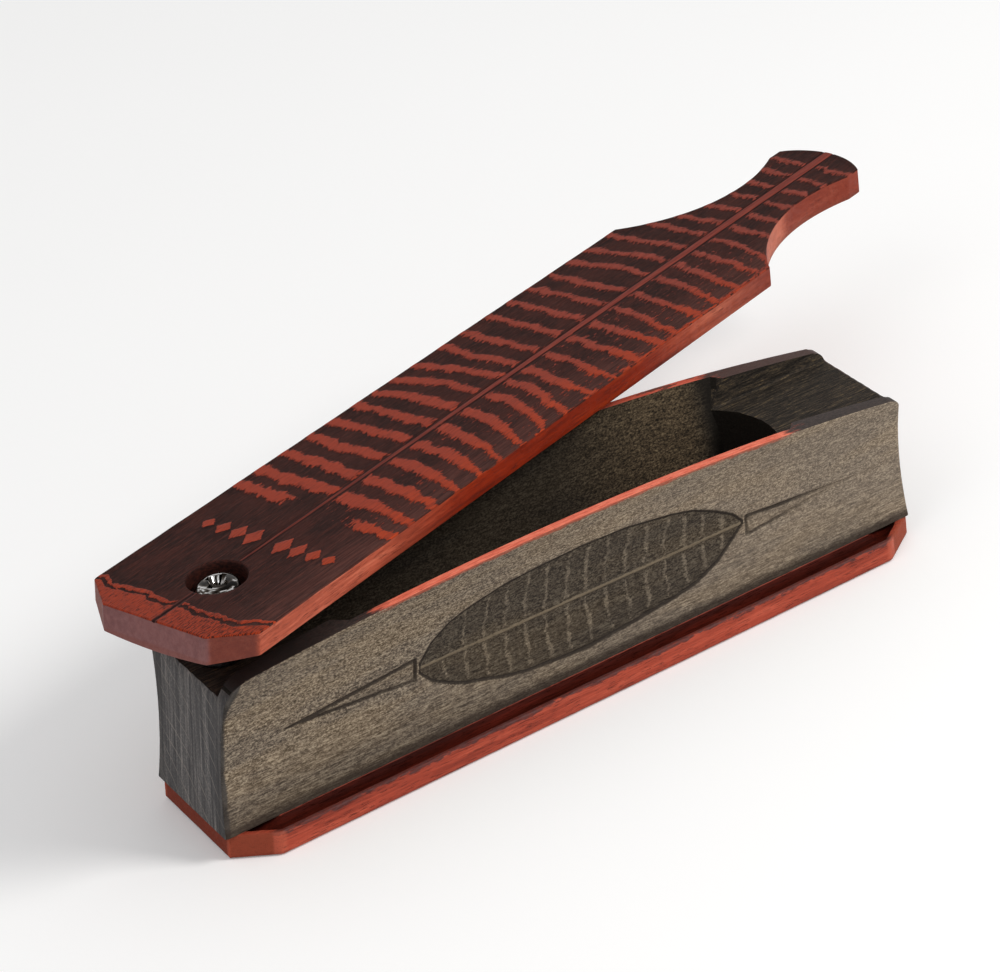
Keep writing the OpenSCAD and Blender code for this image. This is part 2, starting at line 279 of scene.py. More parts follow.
def build_lid():
    e = [0, 0.04, 0.1, 0.2, 0.42, 0.95]
    xs = np.concatenate([NOSE + np.array(e), np.arange(-19.0, 238.01, 0.5),
                         [238.5, 239, 239.5, 240, 240.4, 240.8, 241.1, 241.4, 241.6, 241.75, 241.87, 241.95, 241.985]])
    half = LID_W
    ys = np.concatenate([-half + np.array(e), np.linspace(-half + 0.95, -8, 33)[1:],
                         np.linspace(-8, 8, 33)[1:], np.linspace(8, half - 0.95, 33)[1:],
                         (half - np.array(e[:-1]))[::-1]])
    s = ys / half
    nr, nc = len(xs), len(s)
    X = np.repeat(xs[:, None], nc, 1)
    W = lid_half(X)
    Y = s[None, :] * W
    # distance to the outline
    slope = (lid_half(X + 0.05) - lid_half(X - 0.05)) / 0.1
    slope = np.clip(slope, -3, 3)
    D = (W - np.abs(Y)) / np.sqrt(1 + slope ** 2)
    D = np.where(X > 233, np.minimum(12.8 - np.abs(Y), 19 - np.hypot(X - 223, Y)), D)
    D = np.maximum(np.minimum(D, X - NOSE), 0)
    sd, quill = lid_field(X, Y)
    r = 0.24 + 0.08 * vnoise(X / 6, Y / 6, 41)
    drop = np.where(D < r, r - np.sqrt(np.maximum(r * r - (r - D) ** 2, 0)), 0)
    ground = 1 - sstep(-0.3, 0.25, np.maximum(sd, quill))
    fade = 0.25 + 0.75 * sstep(0.3, 2.2, D)
    Z = -drop - 0.13 * ground * fade - 0.02 * (1 + vnoise(X / 9, Y / 2.2, 42))
    Z -= 0.14 * sstep(0.55, 0.1, np.abs(np.abs(Y) - quill_half(X) - 0.25)) * (X > 7.6) * (np.maximum(sd, quill) < 0.3)
    # front groove that continues the quill line to the nose
    Z -= 0.15 * sstep(0.5, 0.1, np.abs(Y)) * (X < -7.0)
    verts, polys, zone, sds, qls = [], [], [], [], []

    def add(x, y, z, zn, a=None, b=None):
        x, y, z = (np.atleast_1d(np.asarray(t, float)) for t in (x, y, z))
        x, y, z = np.broadcast_arrays(x, y, z)
        start = sum(len(t) for t in zone)
        verts.append(np.stack([x.ravel(), y.ravel(), z.ravel()], 1))
        zone.append(np.full(x.size, zn, float) if np.isscalar(zn) else np.asarray(zn, float).ravel())
        if a is None:
            a, b = lid_field(x.ravel(), y.ravel())
        sds.append(np.ravel(a)); qls.append(np.ravel(b))
        return start

    top0 = add(X, Y, Z, 1.0, sd, quill)
    top = lambda i, j: top0 + i * nc + j
    iA, iB = int(np.argmin(abs(xs + 8))), int(np.argmin(abs(xs - 8)))
    jA, jB = int(np.argmin(abs(ys + 8))), int(np.argmin(abs(ys - 8)))
    for i in range(nr - 1):
        for j in range(nc - 1):
            if iA <= i < iB and jA <= j < jB:
                continue
            polys.append((top(i, j), top(i + 1, j), top(i + 1, j + 1), top(i, j + 1)))
    # side levels below the border
    ring = plank_ring(nr, nc)
    ri = np.array([a for a, b in ring]); rj = np.array([b for a, b in ring])
    rx, ry, rz = X[ri, rj], Y[ri, rj], Z[ri, rj]
    tx = np.roll(rx, -1) - np.roll(rx, 1); ty = np.roll(ry, -1) - np.roll(ry, 1)
    L = np.hypot(tx, ty) + 1e-9
    nx, ny = ty / L, -tx / L              # inward for this winding
    zbot = -6.3 + CROWN_R - np.sqrt(CROWN_R ** 2 - ry ** 2)
    prev = np.array([top(a, b) for a, b in ring])
    n = len(ring)
    lev = []
    for k, (t, ins) in enumerate(((0.03, 0.0), (0.2, 0.0), (0.4, 0.0), (0.6, 0.0), (0.8, 0.0), ("a", 0.0), ("b", 0.09), ("c", 0.3))):
        if k < 5:
            z = rz + (zbot + 0.3 - rz) * t
            saw = 0.05 * vnoise(rx / 1.3 + ry / 1.3, z / 2.5, 43)
        else:
            z = zbot + {"a": 0.3, "b": 0.09, "c": 0.0}[t]
            saw = 0
        inset = ins + saw
        inx = np.where(np.hypot(tx, ty) > 0, nx, 0)
        iny = ny
        start = add(rx + inx * inset, ry + iny * inset, z, 0.0, np.full(n, -2.0), np.full(n, -2.0))
        cur = start + np.arange(n)
        for a in range(n):
            b = (a + 1) % n
            polys.append((prev[a], prev[b], cur[b], cur[a]))
        prev = cur
    border = {rc: prev[k] for k, rc in enumerate(ring)}
    # crowned underside, coarser, joined to every border point
    ci = sorted(set(list(range(0, nr, 4)) + [nr - 1, iA, iB] + list(range(iA, iB + 1, 4))))
    ci = [i for i in ci if not (iA < i < iB and (i - iA) % 4)]
    cj = sorted(set([0, nc - 1, jA, jB] + list(range(jA, jB + 1, 4)) + list(range(jA % 4, jA, 4)) + list(range(jB, nc - 1, 4))))
    cj = [j for j in cj if j not in (1, 2, nc - 2, nc - 3)]
    inner = {}
    for i in ci:
        for j in cj:
            if (i, j) in border or (iA < i < iB and jA < j < jB):
                continue
            y = Y[i, j]
            inner[(i, j)] = add(X[i, j], y, -6.3 + CROWN_R - math.sqrt(CROWN_R ** 2 - y * y), 0.0, [-2.0], [-2.0])
    bot = lambda i, j: border[(i, j)] if (i, j) in border else inner[(i, j)]
    for a in range(len(ci) - 1):
        for b in range(len(cj) - 1):
            i0, i1, j0, j1 = ci[a], ci[a + 1], cj[b], cj[b + 1]
            if iA <= i0 < iB and jA <= j0 < jB:
                continue
            p = []
            p += [bot(i0, j) for j in (range(j0, j1) if i0 == 0 else [j0])]
            p += [bot(i, j1) for i in (range(i0, i1) if j1 == nc - 1 else [i0])]
            p += [bot(i1, j) for j in (range(j1, j0, -1) if i1 == nr - 1 else [j1])]
            p += [bot(i, j0) for i in (range(i1, i0, -1) if j0 == 0 else [i1])]
            polys.append(tuple(p))
    # round patch with counterbore and screw hole
    loop = [(iA, j) for j in range(jA, jB)] + [(i, jB) for i in range(iA, iB)]
    loop += [(iB, j) for j in range(jB, jA, -1)] + [(i, jA) for i in range(iB, iA, -1)]
    li = np.array([a for a, b in loop]); lj = np.array([b for a, b in loop])
    sx, sy = X[li, lj], Y[li, lj]
    ang = np.arctan2(sy, sx)
    rad = np.hypot(sx, sy)
    m = len(loop)
    prev = np.array([top(a, b) for a, b in loop])
    levels = [(0.3, None, 0), (0.6, None, 0), (0.85, None, 0), (1, 7.45, 0), (1, 7.22, -0.04), (1, 7.08, -0.13), (1, 7.0, -0.3),
              (1, 7.0, -1.3), (1, 7.0, -2.5), (1, 7.0, -3.6), (1, 6.93, -3.9), (1, 6.7, -4.08), (1, 6.3, -4.1),
              (1, 5.2, -4.1), (1, 4.1, -4.1), (1, 3.35, -4.1), (1, 3.2, -4.22), (1, 3.2, -6.2)]
    for f, r_, z in levels:
        if r_ is None:
            rr = rad + (7.45 - rad) * f
            zz = -0.15
        else:
            rr, zz = np.full(m, r_), z - (0.2 if z > -3.5 else 0.05)
        if z <= -0.1:
            zz = zz + 0.02 * vnoise(ang * 20, z * 3, 44)
        x_, y_ = rr * np.cos(ang), rr * np.sin(ang)
        deep = z < -0.1
        if r_ is None or z > -0.1:
            fa, fb = lid_field(x_, y_)
            zz = np.full(m, -0.02) - 0.13 * (1 - sstep(-0.3, 0.25, np.maximum(fa, fb))) + (z if r_ else 0)
        start = add(x_, y_, np.broadcast_to(zz, (m,)), 2.0 if deep else 1.0,
                    np.full(m, -2.0) if deep else None, np.full(m, -2.0) if deep else None)
        cur = start + np.arange(m)
        for a in range(m):
            b = (a + 1) % m
            polys.append((prev[a], prev[b], cur[b], cur[a]))
        prev = cur
    for k in range(0, m, 4):
        a, b = loop[k], loop[(k + 4) % m]
        polys.append(tuple([bot(*a), bot(*b)] + [prev[(k + q) % m] for q in (4, 3, 2, 1, 0)]))
    v = np.concatenate(verts)
    o = make("lid_paddle", v, polys, LID,
             {"lp": v, "zone": np.concatenate(zone), "bars": np.concatenate(sds), "quill": np.concatenate(qls)}, angle=38)
    return o


# --------------------------------------------------------------- sound box
def lip_top(x):
    """Height of the lips at x, with the rounded lip corners at both ends."""
    x = np.asarray(x, float)
    z = LIP_Z - ARCH_R + np.sqrt(ARCH_R ** 2 - (x - ARCH_X) ** 2)
    zf, zr = 35.17, 31.28
    d = x + HALF
    z = np.where(d < 5, np.minimum(z, zf - 5 + np.sqrt(np.maximum(25 - (5 - d) ** 2, 0))), z)
    d = HALF - x
    z = np.where(d < 2.8, np.minimum(z, zr - 2.8 + np.sqrt(np.maximum(2.8 ** 2 - (2.8 - d) ** 2, 0))), z)
    return z


def side_y(z, inset=0.0):
    return SIDE_CY - inset - np.sqrt(np.maximum((SIDE_R) ** 2 - (z - WAIST_Z) ** 2, 1))


# feather worked into the near side: outline heights along the box (x from mid-length)
F_X = np.array([49.4, 52.8, 57.2, 61, 66, 71, 80, 92.5, 105, 117.7, 124, 130.3, 135.3, 138.4]) - 92
F_T = [20.2, 24.2, 26.8, 28, 29, 29.9, 30.5, 30.8, 30.2, 28.3, 26.8, 24.2, 21.7, 18.9]
F_BX = np.array([49.4, 52.8, 56.6, 61, 66, 70.5, 76.8, 86, 92.5, 105, 117.7, 124, 130.3, 135.3, 138.4]) - 92
F_B = [18.6, 15.7, 13.9, 12.3, 11.3, 10.1, 9.1, 8.5, 8.2, 8.8, 9.8, 10.7, 12.9, 16.4, 18.9]


def feather(x, z):
    """Fields of the side feather: vane distance, outline, rib, barb bars, quills (all about -1..1)."""
    zt, zb = np.interp(x, F_X, F_T), np.interp(x, F_BX, F_B)
    inx = (x > F_X[0]) & (x < F_X[-1])
    slope_t = np.abs(np.interp(x + 0.4, F_X, F_T) - np.interp(x - 0.4, F_X, F_T)) / 0.8
    slope_b = np.abs(np.interp(x + 0.4, F_BX, F_B) - np.interp(x - 0.4, F_BX, F_B)) / 0.8
    dt = (zt - z) / np.sqrt(1 + slope_t ** 2)
    db = (z - zb) / np.sqrt(1 + slope_b ** 2)
    vane = np.where(inx, np.minimum(dt, db), -2.0)
    vane = np.minimum(vane, np.minimum(x - F_X[0], F_X[-1] - x))
    rib_z = np.interp(x, [-43, 46], [19.7, 18.8])
    rib = np.where(inx, 0.34 - np.abs(z - rib_z), -2.0)
    # barb bars: light, wavy, mostly vertical
    bars = np.full(np.shape(x), -2.0)
    for k in range(15):
        xc = -36.5 + 5.45 * k
        lean = 0.10 * np.abs(z - rib_z)
        c = xc + lean + 0.45 * vnoise(z / 2.2, k, 51) + 0.25 * vnoise(z / 0.8, k, 52)
        hw = 0.5 + 0.25 * vnoise(z / 1.7, k, 53) + 0.15 * vnoise(z / 0.5, k, 54)
        bars = np.maximum(bars, hw - np.abs(x - c))
    bars = np.minimum(bars, vane - 0.9)
    bars = np.minimum(bars, np.abs(z - rib_z) - 0.75)
    # quills: long tapering points left and right of the vane
    ql = np.interp(x, [-77, -43.2], [0.05, 2.45]) - np.abs(z - np.interp(x, [-77, -43.2], [20.1, 19.75]))
    ql = np.minimum(ql, np.minimum(x + 77, -43.2 - x))
    qr = np.interp(x, [46.4, 78], [2.35, 0.05]) - np.abs(z - np.interp(x, [46.4, 78], [17.8, 17.6]))
    qr = np.minimum(qr, np.minimum(78 - x, x - 46.6))
    quill = np.maximum(ql, qr)
    return vane, rib, bars, quill


def feather_depth(x, z):
    vane, rib, bars, quill = feather(x, z)
    d = 0.34 * sstep(-0.05, 0.35, vane)
    d += 0.22 * sstep(0.42, 0.1, np.abs(vane - 0.15))
    d -= 0.26 * sstep(-0.2, 0.2, rib) * (vane > 0)
    d -= 0.24 * sstep(-0.25, 0.25, bars) * (vane > 0)
    d += 0.36 * sstep(0.5, 0.12, np.abs(quill - 0.2)) * (quill > -0.6)
    d += 0.1 * sstep(0.0, 0.4, quill)
    return d


def build_box():
    off = np.array([0, 0.05, 0.15, 0.3, 0.5, 0.8, 1.2, 1.7, 2.3, 3.0, 3.8, 4.6])
    xs = np.concatenate([-HALF + off, np.arange(-HALF + 5.0, HALF - 4.99, 0.5), (HALF - off)[::-1]])
    nx = len(xs)
    ny = 14
    ye = np.linspace(-1, 1, ny + 2)[1:-1]
    # loop: near side front to rear, rear end, far side rear to front, front end
    LX = np.concatenate([xs, np.full(ny, HALF), xs[::-1], np.full(ny, -HALF)])
    side = np.concatenate([-np.ones(nx), ye, np.ones(nx), ye[::-1]])
    kind = np.concatenate([np.zeros(nx), np.ones(ny), np.full(nx, 2), np.full(ny, 3)])
    zt = lip_top(LX)
    # the last 0.3 mm round the outer lip edge
    levels = [("v", t) for t in np.linspace(0, 1, 68)] + [("e", 0.16), ("e", 0.05), ("e", 0.0)]
    rf, rr = 0.7, 0.9
    verts = []
    for kd, t in levels:
        z = BASE_T + t * (zt - 0.35 - BASE_T) if kd == "v" else zt - t
        edge = 0.0 if kd == "v" else 0.35 - math.sqrt(max(0.35 ** 2 - (0.35 - t) ** 2, 0))
        ys = side_y(z)
        df, dr = LX + HALF, HALF - LX
        ins = np.where(df < rf, rf - np.sqrt(np.maximum(rf ** 2 - (rf - df) ** 2, 0)), 0)
        ins = np.maximum(ins, np.where(dr < rr, rr - np.sqrt(np.maximum(rr ** 2 - (rr - dr) ** 2, 0)), 0))
        xf = -HALF - 1.3 * (44 - z) / 39.5
        xr = HALF + 0.7 * (44 - z) / 39.5
        x = xf + (LX + HALF) / (2 * HALF) * (xr - xf)
        flat = (kind == 1) | (kind == 3)
        ylim = np.where(LX > 0, ys - rr, ys - rf)
        y = np.where(flat, side * (ylim - edge), side * (ys - ins - edge))
        x = np.where(kind == 1, x + 0.03 * vnoise(y / 1.2, z / 9, 61), x)
        x = np.where(kind == 3, x - 0.03 * vnoise(y / 1.2, z / 9, 62), x)
        near = kind == 0
        dep = feather_depth(LX, z) * near
        dep = dep + 0.035 * vnoise(LX / 2.2, z / 0.7 + 50 * side, 63) * (~flat)
        y = y - np.sign(side) * np.where(flat, 0, dep)
        verts.append(np.stack([x, y, z], 1))
    n = len(LX)
    polys = []
    for k in range(len(levels) - 1):
        a, b = k * n, (k + 1) * n
        for j in range(n):
            jj = (j + 1) % n
            polys.append((a + j, a + jj, b + jj, b + j))
    far = lambda i: nx + ny + (nx - 1 - i)
    for base, flip in ((0, True), ((len(levels) - 1) * n, False)):
        for i in range(nx - 1):
            q = [base + i, base + i + 1, base + far(i + 1), base + far(i)]
            polys.append(tuple(q[::-1]) if flip else tuple(q))
        q = [base + nx - 1] + [base + nx + k for k in range(ny)] + [base + far(nx - 1)]
        polys.append(tuple(q[::-1]) if flip else tuple(q))
        q = [base + far(0)] + [base + 2 * nx + ny + k for k in range(ny)] + [base]
        polys.append(tuple(q[::-1]) if flip else tuple(q))
    box = make("sound_box_wood", np.concatenate(verts), polys)
    # chamber: hollow-sided walls, round ends that flare above the rear ledge height
    zl = np.concatenate([[3.0], np.linspace(4.7, 29, 22), np.linspace(29.6, 46, 16)])
    cv, cf = [], []
    na = 26
    for z in zl:
        R = 20.7 + max(z - 29, 0) / 2
        yi = float(side_y(max(z, 4.5), 2.4))
        t0 = math.asin(min(yi / R, 0.999))
        pts = []
        for k in range(na + 1):
            t = -t0 + 2 * t0 * k / na
            pts.append((43.8 + R * math.cos(t), R * math.sin(t), z))
        for k in range(1, 12):
            f = k / 12
            x1 = 43.8 + R * math.cos(t0)
            pts.append((x1 * (1 - 2 * f), yi, z))
        for k in range(na + 1):
            t = math.pi - t0 + 2 * t0 * k / na
            pts.append((-43.8 + R * math.cos(t), R * math.sin(t), z))
        for k in range(1, 12):
            f = k / 12
            x1 = 43.8 + R * math.cos(t0)
            pts.append((-x1 * (1 - 2 * f), -yi, z))
        cv += pts
    m = len(pts)
    for k in range(len(zl) - 1):
        for j in range(m):
            jj = (j + 1) % m
            cf.append((k * m + j, k * m + jj, (k + 1) * m + jj, (k + 1) * m + j))
    cf.append(tuple(range(m))[::-1])
    cf.append(tuple((len(zl) - 1) * m + j for j in range(m)))
    chamber = make("cut_chamber", cv, cf)

    def ledge(name, x0, x1, z, seed):
        # channel between the wall ends: gouged floor, softened inner corners
        yy = np.concatenate([[-14.8, -14.8, -14.72, -14.5, -14.1], np.linspace(-13, 13, 27), [14.1, 14.5, 14.72, 14.8, 14.8]])
        zz = np.concatenate([[50, z + 1.0, z + 0.4, z + 0.1, z], np.full(27, z), [z, z + 0.1, z + 0.4, z + 1.0, 50]])
        gx = np.linspace(x0, x1, 46)
        v, f = [], []
        for x in gx:
            dz = 0.07 * vnoise(x / 7, yy / 1.1, seed) + 0.05 * vnoise(x / 3, yy / 0.6, seed + 1)
            v += [(x, y, zc + (d if zc < 49 else 0)) for y, zc, d in zip(yy, zz, dz)]
        k = len(yy)
        for a in range(len(gx) - 1):
            for b in range(k):
                bb = (b + 1) % k
                f.append((a * k + b, a * k + bb, (a + 1) * k + bb, (a + 1) * k + b))
        f.append(tuple(range(k))[::-1])
        f.append(tuple((len(gx) - 1) * k + b for b in range(k)))
        return make(name, v, f)

    hv, hf = lathe([(0.001, 10), (2.45, 11.5), (2.45, 33), (2.9, 34.5), (2.9, 50), (0.001, 50)], 40, closed=False)
    pilot = make("cut_pilot", [(x + PX, y, z) for x, y, z in hv], hf)
    cut(box, [chamber, ledge("cut_front", -98, -51.9, 32.0, 71), ledge("cut_rear", 51.9, 98, 29.0, 74), pilot])
    box.data.validate()
    shade(box, 30)
    # feather fields and zones read back from the final points
    me = box.data
    co = np.zeros(len(me.vertices) * 3)
    me.vertices.foreach_get("co", co)
    co = co.reshape(-1, 3) * 1000
    x, y, z = co[:, 0], co[:, 1], co[:, 2]
    vane, rib, bars, quill = feather(x, z)
    outer = (y < -(side_y(z) - 1.1))
    for key, val in (("vane", vane), ("rib", rib), ("barb", bars), ("fquill", quill)):
        a = me.attributes.new(key, "FLOAT", "POINT")
        a.data.foreach_set("value", np.clip(np.where(outer, val, -2.0), -2, 2).astype(np.float32))
    # material index by where each face lies
    nf = len(me.polygons)
    c = np.zeros(nf * 3); me.polygons.foreach_get("center", c); c = c.reshape(-1, 3) * 1000
    nn = np.zeros(nf * 3); me.polygons.foreach_get("normal", nn); nn = nn.reshape(-1, 3)
    idx = np.zeros(nf, np.int32)
    ysf = side_y(c[:, 2])
    inner = (np.abs(c[:, 1]) < ysf - 1.3)
    endf = (np.abs(nn[:, 0]) > 0.75) & (np.abs(c[:, 0]) > 90.5)
    idx[endf] = 1
    lip = (nn[:, 2] > 0.8) & (c[:, 2] > lip_top(np.clip(c[:, 0], -92, 92)) - 0.25) & ~endf
    chamber_f = inner & ~endf & ~lip
    idx[chamber_f] = 3
    led = (np.abs(c[:, 0]) > 51) & (nn[:, 2] > 0.6) & (c[:, 2] < 33.5) & inner & ~endf
    idx[led] = 4
    wall = (np.abs(c[:, 0]) > 57) & (c[:, 2] > 28.9) & inner & ~endf & ~lip & ~led & (np.abs(np.abs(c[:, 1]) - 14.8) < 0.75) & (np.abs(nn[:, 1]) > 0.5)
    idx[wall] = 4
    idx[lip] = 2
    me.polygons.foreach_set("material_index", idx)
    return box


# -------------------------------------------------------------- base board
def build_base():
    A, B, CL, CW = 92.2, 22.4, 9.5, 7.0
    e = [0, 0.08, 0.2, 0.4, 0.7]
    xs = np.concatenate([-A + np.array(e), np.linspace(-91.2, 91.2, 229), (A - np.array(e))[::-1]])

    def half(x):
        d = A - np.abs(x)
        return np.where(d < CL, B - CW + d * CW / CL, B)
    yo = np.concatenate([[0, 0.08, 0.2, 0.4, 0.7], np.linspace(0.95, 5.9, 22)])   # offsets in from the edge
    inner = np.linspace(-(B - 6.2), B - 6.2, 12)
    ys = np.concatenate([-B + yo, inner, (B - yo)[::-1]])
    s = ys / B
    nr, nc = len(xs), len(s)
    X = np.repeat(xs[:, None], nc, 1)
    W = half(X)
    Y = s[None, :] * W
    cut_ = A - np.abs(X) < CL
    D = np.where(cut_, (W - np.abs(Y)) * math.cos(math.atan(CW / CL)), W - np.abs(Y))
    D = np.maximum(np.minimum(D, A - np.abs(X)), 0)
    r = 0.55 + 0.15 * vnoise(X / 4, Y / 9, 81)
    Z = BASE_T - np.where(D < r, r - np.sqrt(np.maximum(r * r - (r - D) ** 2, 0)), 0)
    # cove beside the box with round run-outs
    ax, ay = np.abs(X), np.abs(Y)
    ca = math.atan(CW / CL)
    bend = A - CL - (B - 18.96) * math.tan(ca / 2) - 0.4
    rr = np.hypot(ay - 18.96, np.maximum(ax - bend, 0))
    along = np.clip((ax - bend) * math.cos(ca) - (ay - 18.96) * math.sin(ca), 0, 6)
    rr = np.minimum(rr, np.hypot(ax - bend - along * math.cos(ca), ay - 18.96 + along * math.sin(ca)))
    cz = BASE_T + 1.456 - np.sqrt(np.maximum(2.85 ** 2 - rr ** 2, 0))
    Z = np.where(rr < 2.85, np.minimum(Z, cz), Z)
    Z = Z + 0.02 * vnoise(X / 3.5, Y / 0.7, 82)
    verts = [np.stack([X.ravel(), Y.ravel(), Z.ravel()], 1)]
    polys = []
    for i in range(nr - 1):
        for j in range(nc - 1):
            a = i * nc + j
            polys.append((a, a + nc, a + nc + 1, a + 1))
    ring = plank_ring(nr, nc)
    ri = np.array([a for a, b in ring]); rj = np.array([b for a, b in ring])
    rx, ry, rz = X[ri, rj], Y[ri, rj], Z[ri, rj]
    tx = np.roll(rx, -1) - np.roll(rx, 1); ty = np.roll(ry, -1) - np.roll(ry, 1)
    L = np.hypot(tx, ty) + 1e-9
    nx, ny = ty / L, -tx / L
    prev = ri * nc + rj
    n = len(ring)
    rb = 0.45
    tot = nr * nc
    for z, ins in ((3.5, 0), (2.8, 0), (2.1, 0), (1.4, 0), (0.8, 0), (rb, 0), (rb * 0.62, 0.085 * rb), (rb * 0.29, 0.3 * rb),
                   (rb * 0.08, 0.62 * rb), (0, rb)):
        saw = 0.035 * vnoise(rx / 2.5 + ry / 2.5, z / 1.2, 83)
        verts.append(np.stack([rx + nx * (ins + saw), ry + ny * (ins + saw), np.full(n, z)], 1))
        cur = tot + np.arange(n)
        tot += n
        for a in range(n):
            b = (a + 1) % n
            polys.append((prev[a], prev[b], cur[b], cur[a]))
        prev = cur
    idx = {rc: prev[k] for k, rc in enumerate(ring)}
    for i in range(nr - 1):
        if i == 0:
            p = [idx[(0, j)] for j in range(nc)] + [idx[(1, nc - 1)], idx[(1, 0)]]
        elif i == nr - 2:
            p = [idx[(i, 0)], idx[(i, nc - 1)]] + [idx[(nr - 1, j)] for j in range(nc - 1, -1, -1)]
        else:
            p = [idx[(i, 0)], idx[(i, nc - 1)], idx[(i + 1, nc - 1)], idx[(i + 1, 0)]]
        polys.append(tuple(p))
    return make("base_board_wood", np.concatenate(verts), polys, angle=34)


# ---------------------------------------------------------- pivot hardware
HEAD_Z = TOP_Z - 4.1 + 0.72        # underside of the head


def build_screw():
    n = 96
    prof = []
    L = 31.8
    # shank with a cut thread on its lower part: radius follows a helix
    zs = np.concatenate([np.linspace(-L, -L + 20, 210), np.linspace(-L + 20.3, -0.2, 12)])
    v, f = [], []
    a = np.arange(n) * 2 * np.pi / n
    pitch = 1.35
    for z in zs:
        h = z + L
        core = min(1.85, 0.25 + h * 0.62)
        ph = (h / pitch - a / (2 * np.pi)) % 1.0
        crest = np.clip(1 - np.abs(ph - 0.5) / 0.32, 0, 1) ** 0.8
        thr = 0.55 * crest * np.clip(h / 1.5, 0.1, 1) * np.clip((20 - h) / 1.4, 0, 1)
        rad = core + thr
        if h > 19.4:
            rad = np.full(n, 1.85 + 0.55 * min((h - 19.4) / 0.9, 1))
        v += [(r * math.cos(t), r * math.sin(t), z) for r, t in zip(rad, a)]
    head = [(2.4, -0.02), (5.0, 0.0), (5.21, 0.05), (5.3, 0.2), (5.3, 0.95), (5.24, 1.2), (5.1, 1.5), (4.82, 1.8),
            (4.4, 2.07), (3.85, 2.28), (3.2, 2.44), (2.4, 2.54), (1.4, 2.59), (0.5, 2.6), (0.02, 2.6)]
    for r, z in head:
        v += [(r * math.cos(t), r * math.sin(t), z) for t in a]
    k = len(zs) + len(head)
    for i in range(k - 1):
        for j in range(n):
            jj = (j + 1) % n
            f.append((i * n + j, i * n + jj, (i + 1) * n + jj, (i + 1) * n + j))
    f.append(tuple(range(n))[::-1])
    f.append(tuple((k - 1) * n + j for j in range(n)))
    place = Matrix.Translation((PX * MM, 0, HEAD_Z * MM))
    o = make("screw_pan_head", v, f, place, angle=40)
    # cross recess: two tapering blades and a cone
    cuts = []
    for deg in (28, 118):
        hw0, hw1, l0, l1 = 0.6, 1.1, 1.7, 3.3
        pts = []
        for z, hw, l in ((0.7, hw0, l0), (1.5, hw0 + 0.1, l0 + 0.7), (3.0, hw1, l1 + 0.12)):
            pts += [(-l, -hw * 0.72, z), (l, -hw * 0.72, z), (l, hw * 0.72, z), (-l, hw * 0.72, z)]
        # taper each arm's end
        fc = [(3, 2, 1, 0), (8, 9, 10, 11)]
        for q in (0, 4):
            for j in range(4):
                jj = (j + 1) % 4
                fc.append((q + j, q + jj, q + 4 + jj, q + 4 + j))
        m = place @ Matrix.Rotation(math.radians(deg), 4, "Z")
        cuts.append(make("cut_blade%d" % deg, pts, fc, m))
    cv, cf = lathe([(0.02, 0.3), (0.9, 0.9), (1.5, 1.6), (2.2, 2.62), (2.3, 3.0), (0.02, 3.0)], 24, closed=False)
    cuts.append(make("cut_cone", cv, cf, place @ Matrix.Rotation(math.radians(7), 4, "Z")))
    cut(o, cuts)
    shade(o, 40)
    return o


def build_washer(name, ro, ri, t, matrix, dish=0.0):
    b = min(0.09, t * 0.25)
    prof = [(ri + b, 0), (ro - b, 0 - dish), (ro - b * 0.3, b * 0.3 - dish), (ro, b - dish), (ro, t - b - dish),
            (ro - b * 0.3, t - b * 0.3 - dish), (ro - b, t - dish), (ri + b, t), (ri + b * 0.3, t - b * 0.3), (ri, t - b),
            (ri, b), (ri + b * 0.3, b * 0.3)]
    v, f = lathe(prof, 96)
    return make(name, v, f, matrix, angle=28)


def build_spring():
    turns, wire, od = 4.5, 1.1, 9.6
    z0, z1 = 32.8, TOP_Z - 6.3 - 0.8 - 0.2
    lo, hi, c = wire / 2 + 0.02, z1 - z0 - wire / 2 - 0.02, 0.75

    def cz(u):
        if u < c:
            return lo + wire * 0.9 * u / c
        if u > turns - c:
            return hi - wire * 0.9 * (turns - u) / c
        return lo + wire * 0.9 + (hi - lo - 1.8 * wire) * (u - c) / (turns - 2 * c)
    steps, m, r = 260, 18, (od - wire) / 2
    v, f = [], []
    for i in range(steps + 1):
        u = turns * i / steps
        a = 2 * math.pi * u
        for j in range(m):
            b = 2 * math.pi * j / m
            rr = r + wire / 2 * math.cos(b)
            v.append((PX + rr * math.cos(a), rr * math.sin(a), z0 + cz(u) + wire / 2 * math.sin(b)))
    for i in range(steps):
        for j in range(m):
            k = (j + 1) % m
            f.append((i * m + j, i * m + k, (i + 1) * m + k, (i + 1) * m + j))
    f.append(tuple(range(m))[::-1])
    f.append(tuple(steps * m + j for j in range(m)))
    return make("coil_spring", v, f, angle=50)


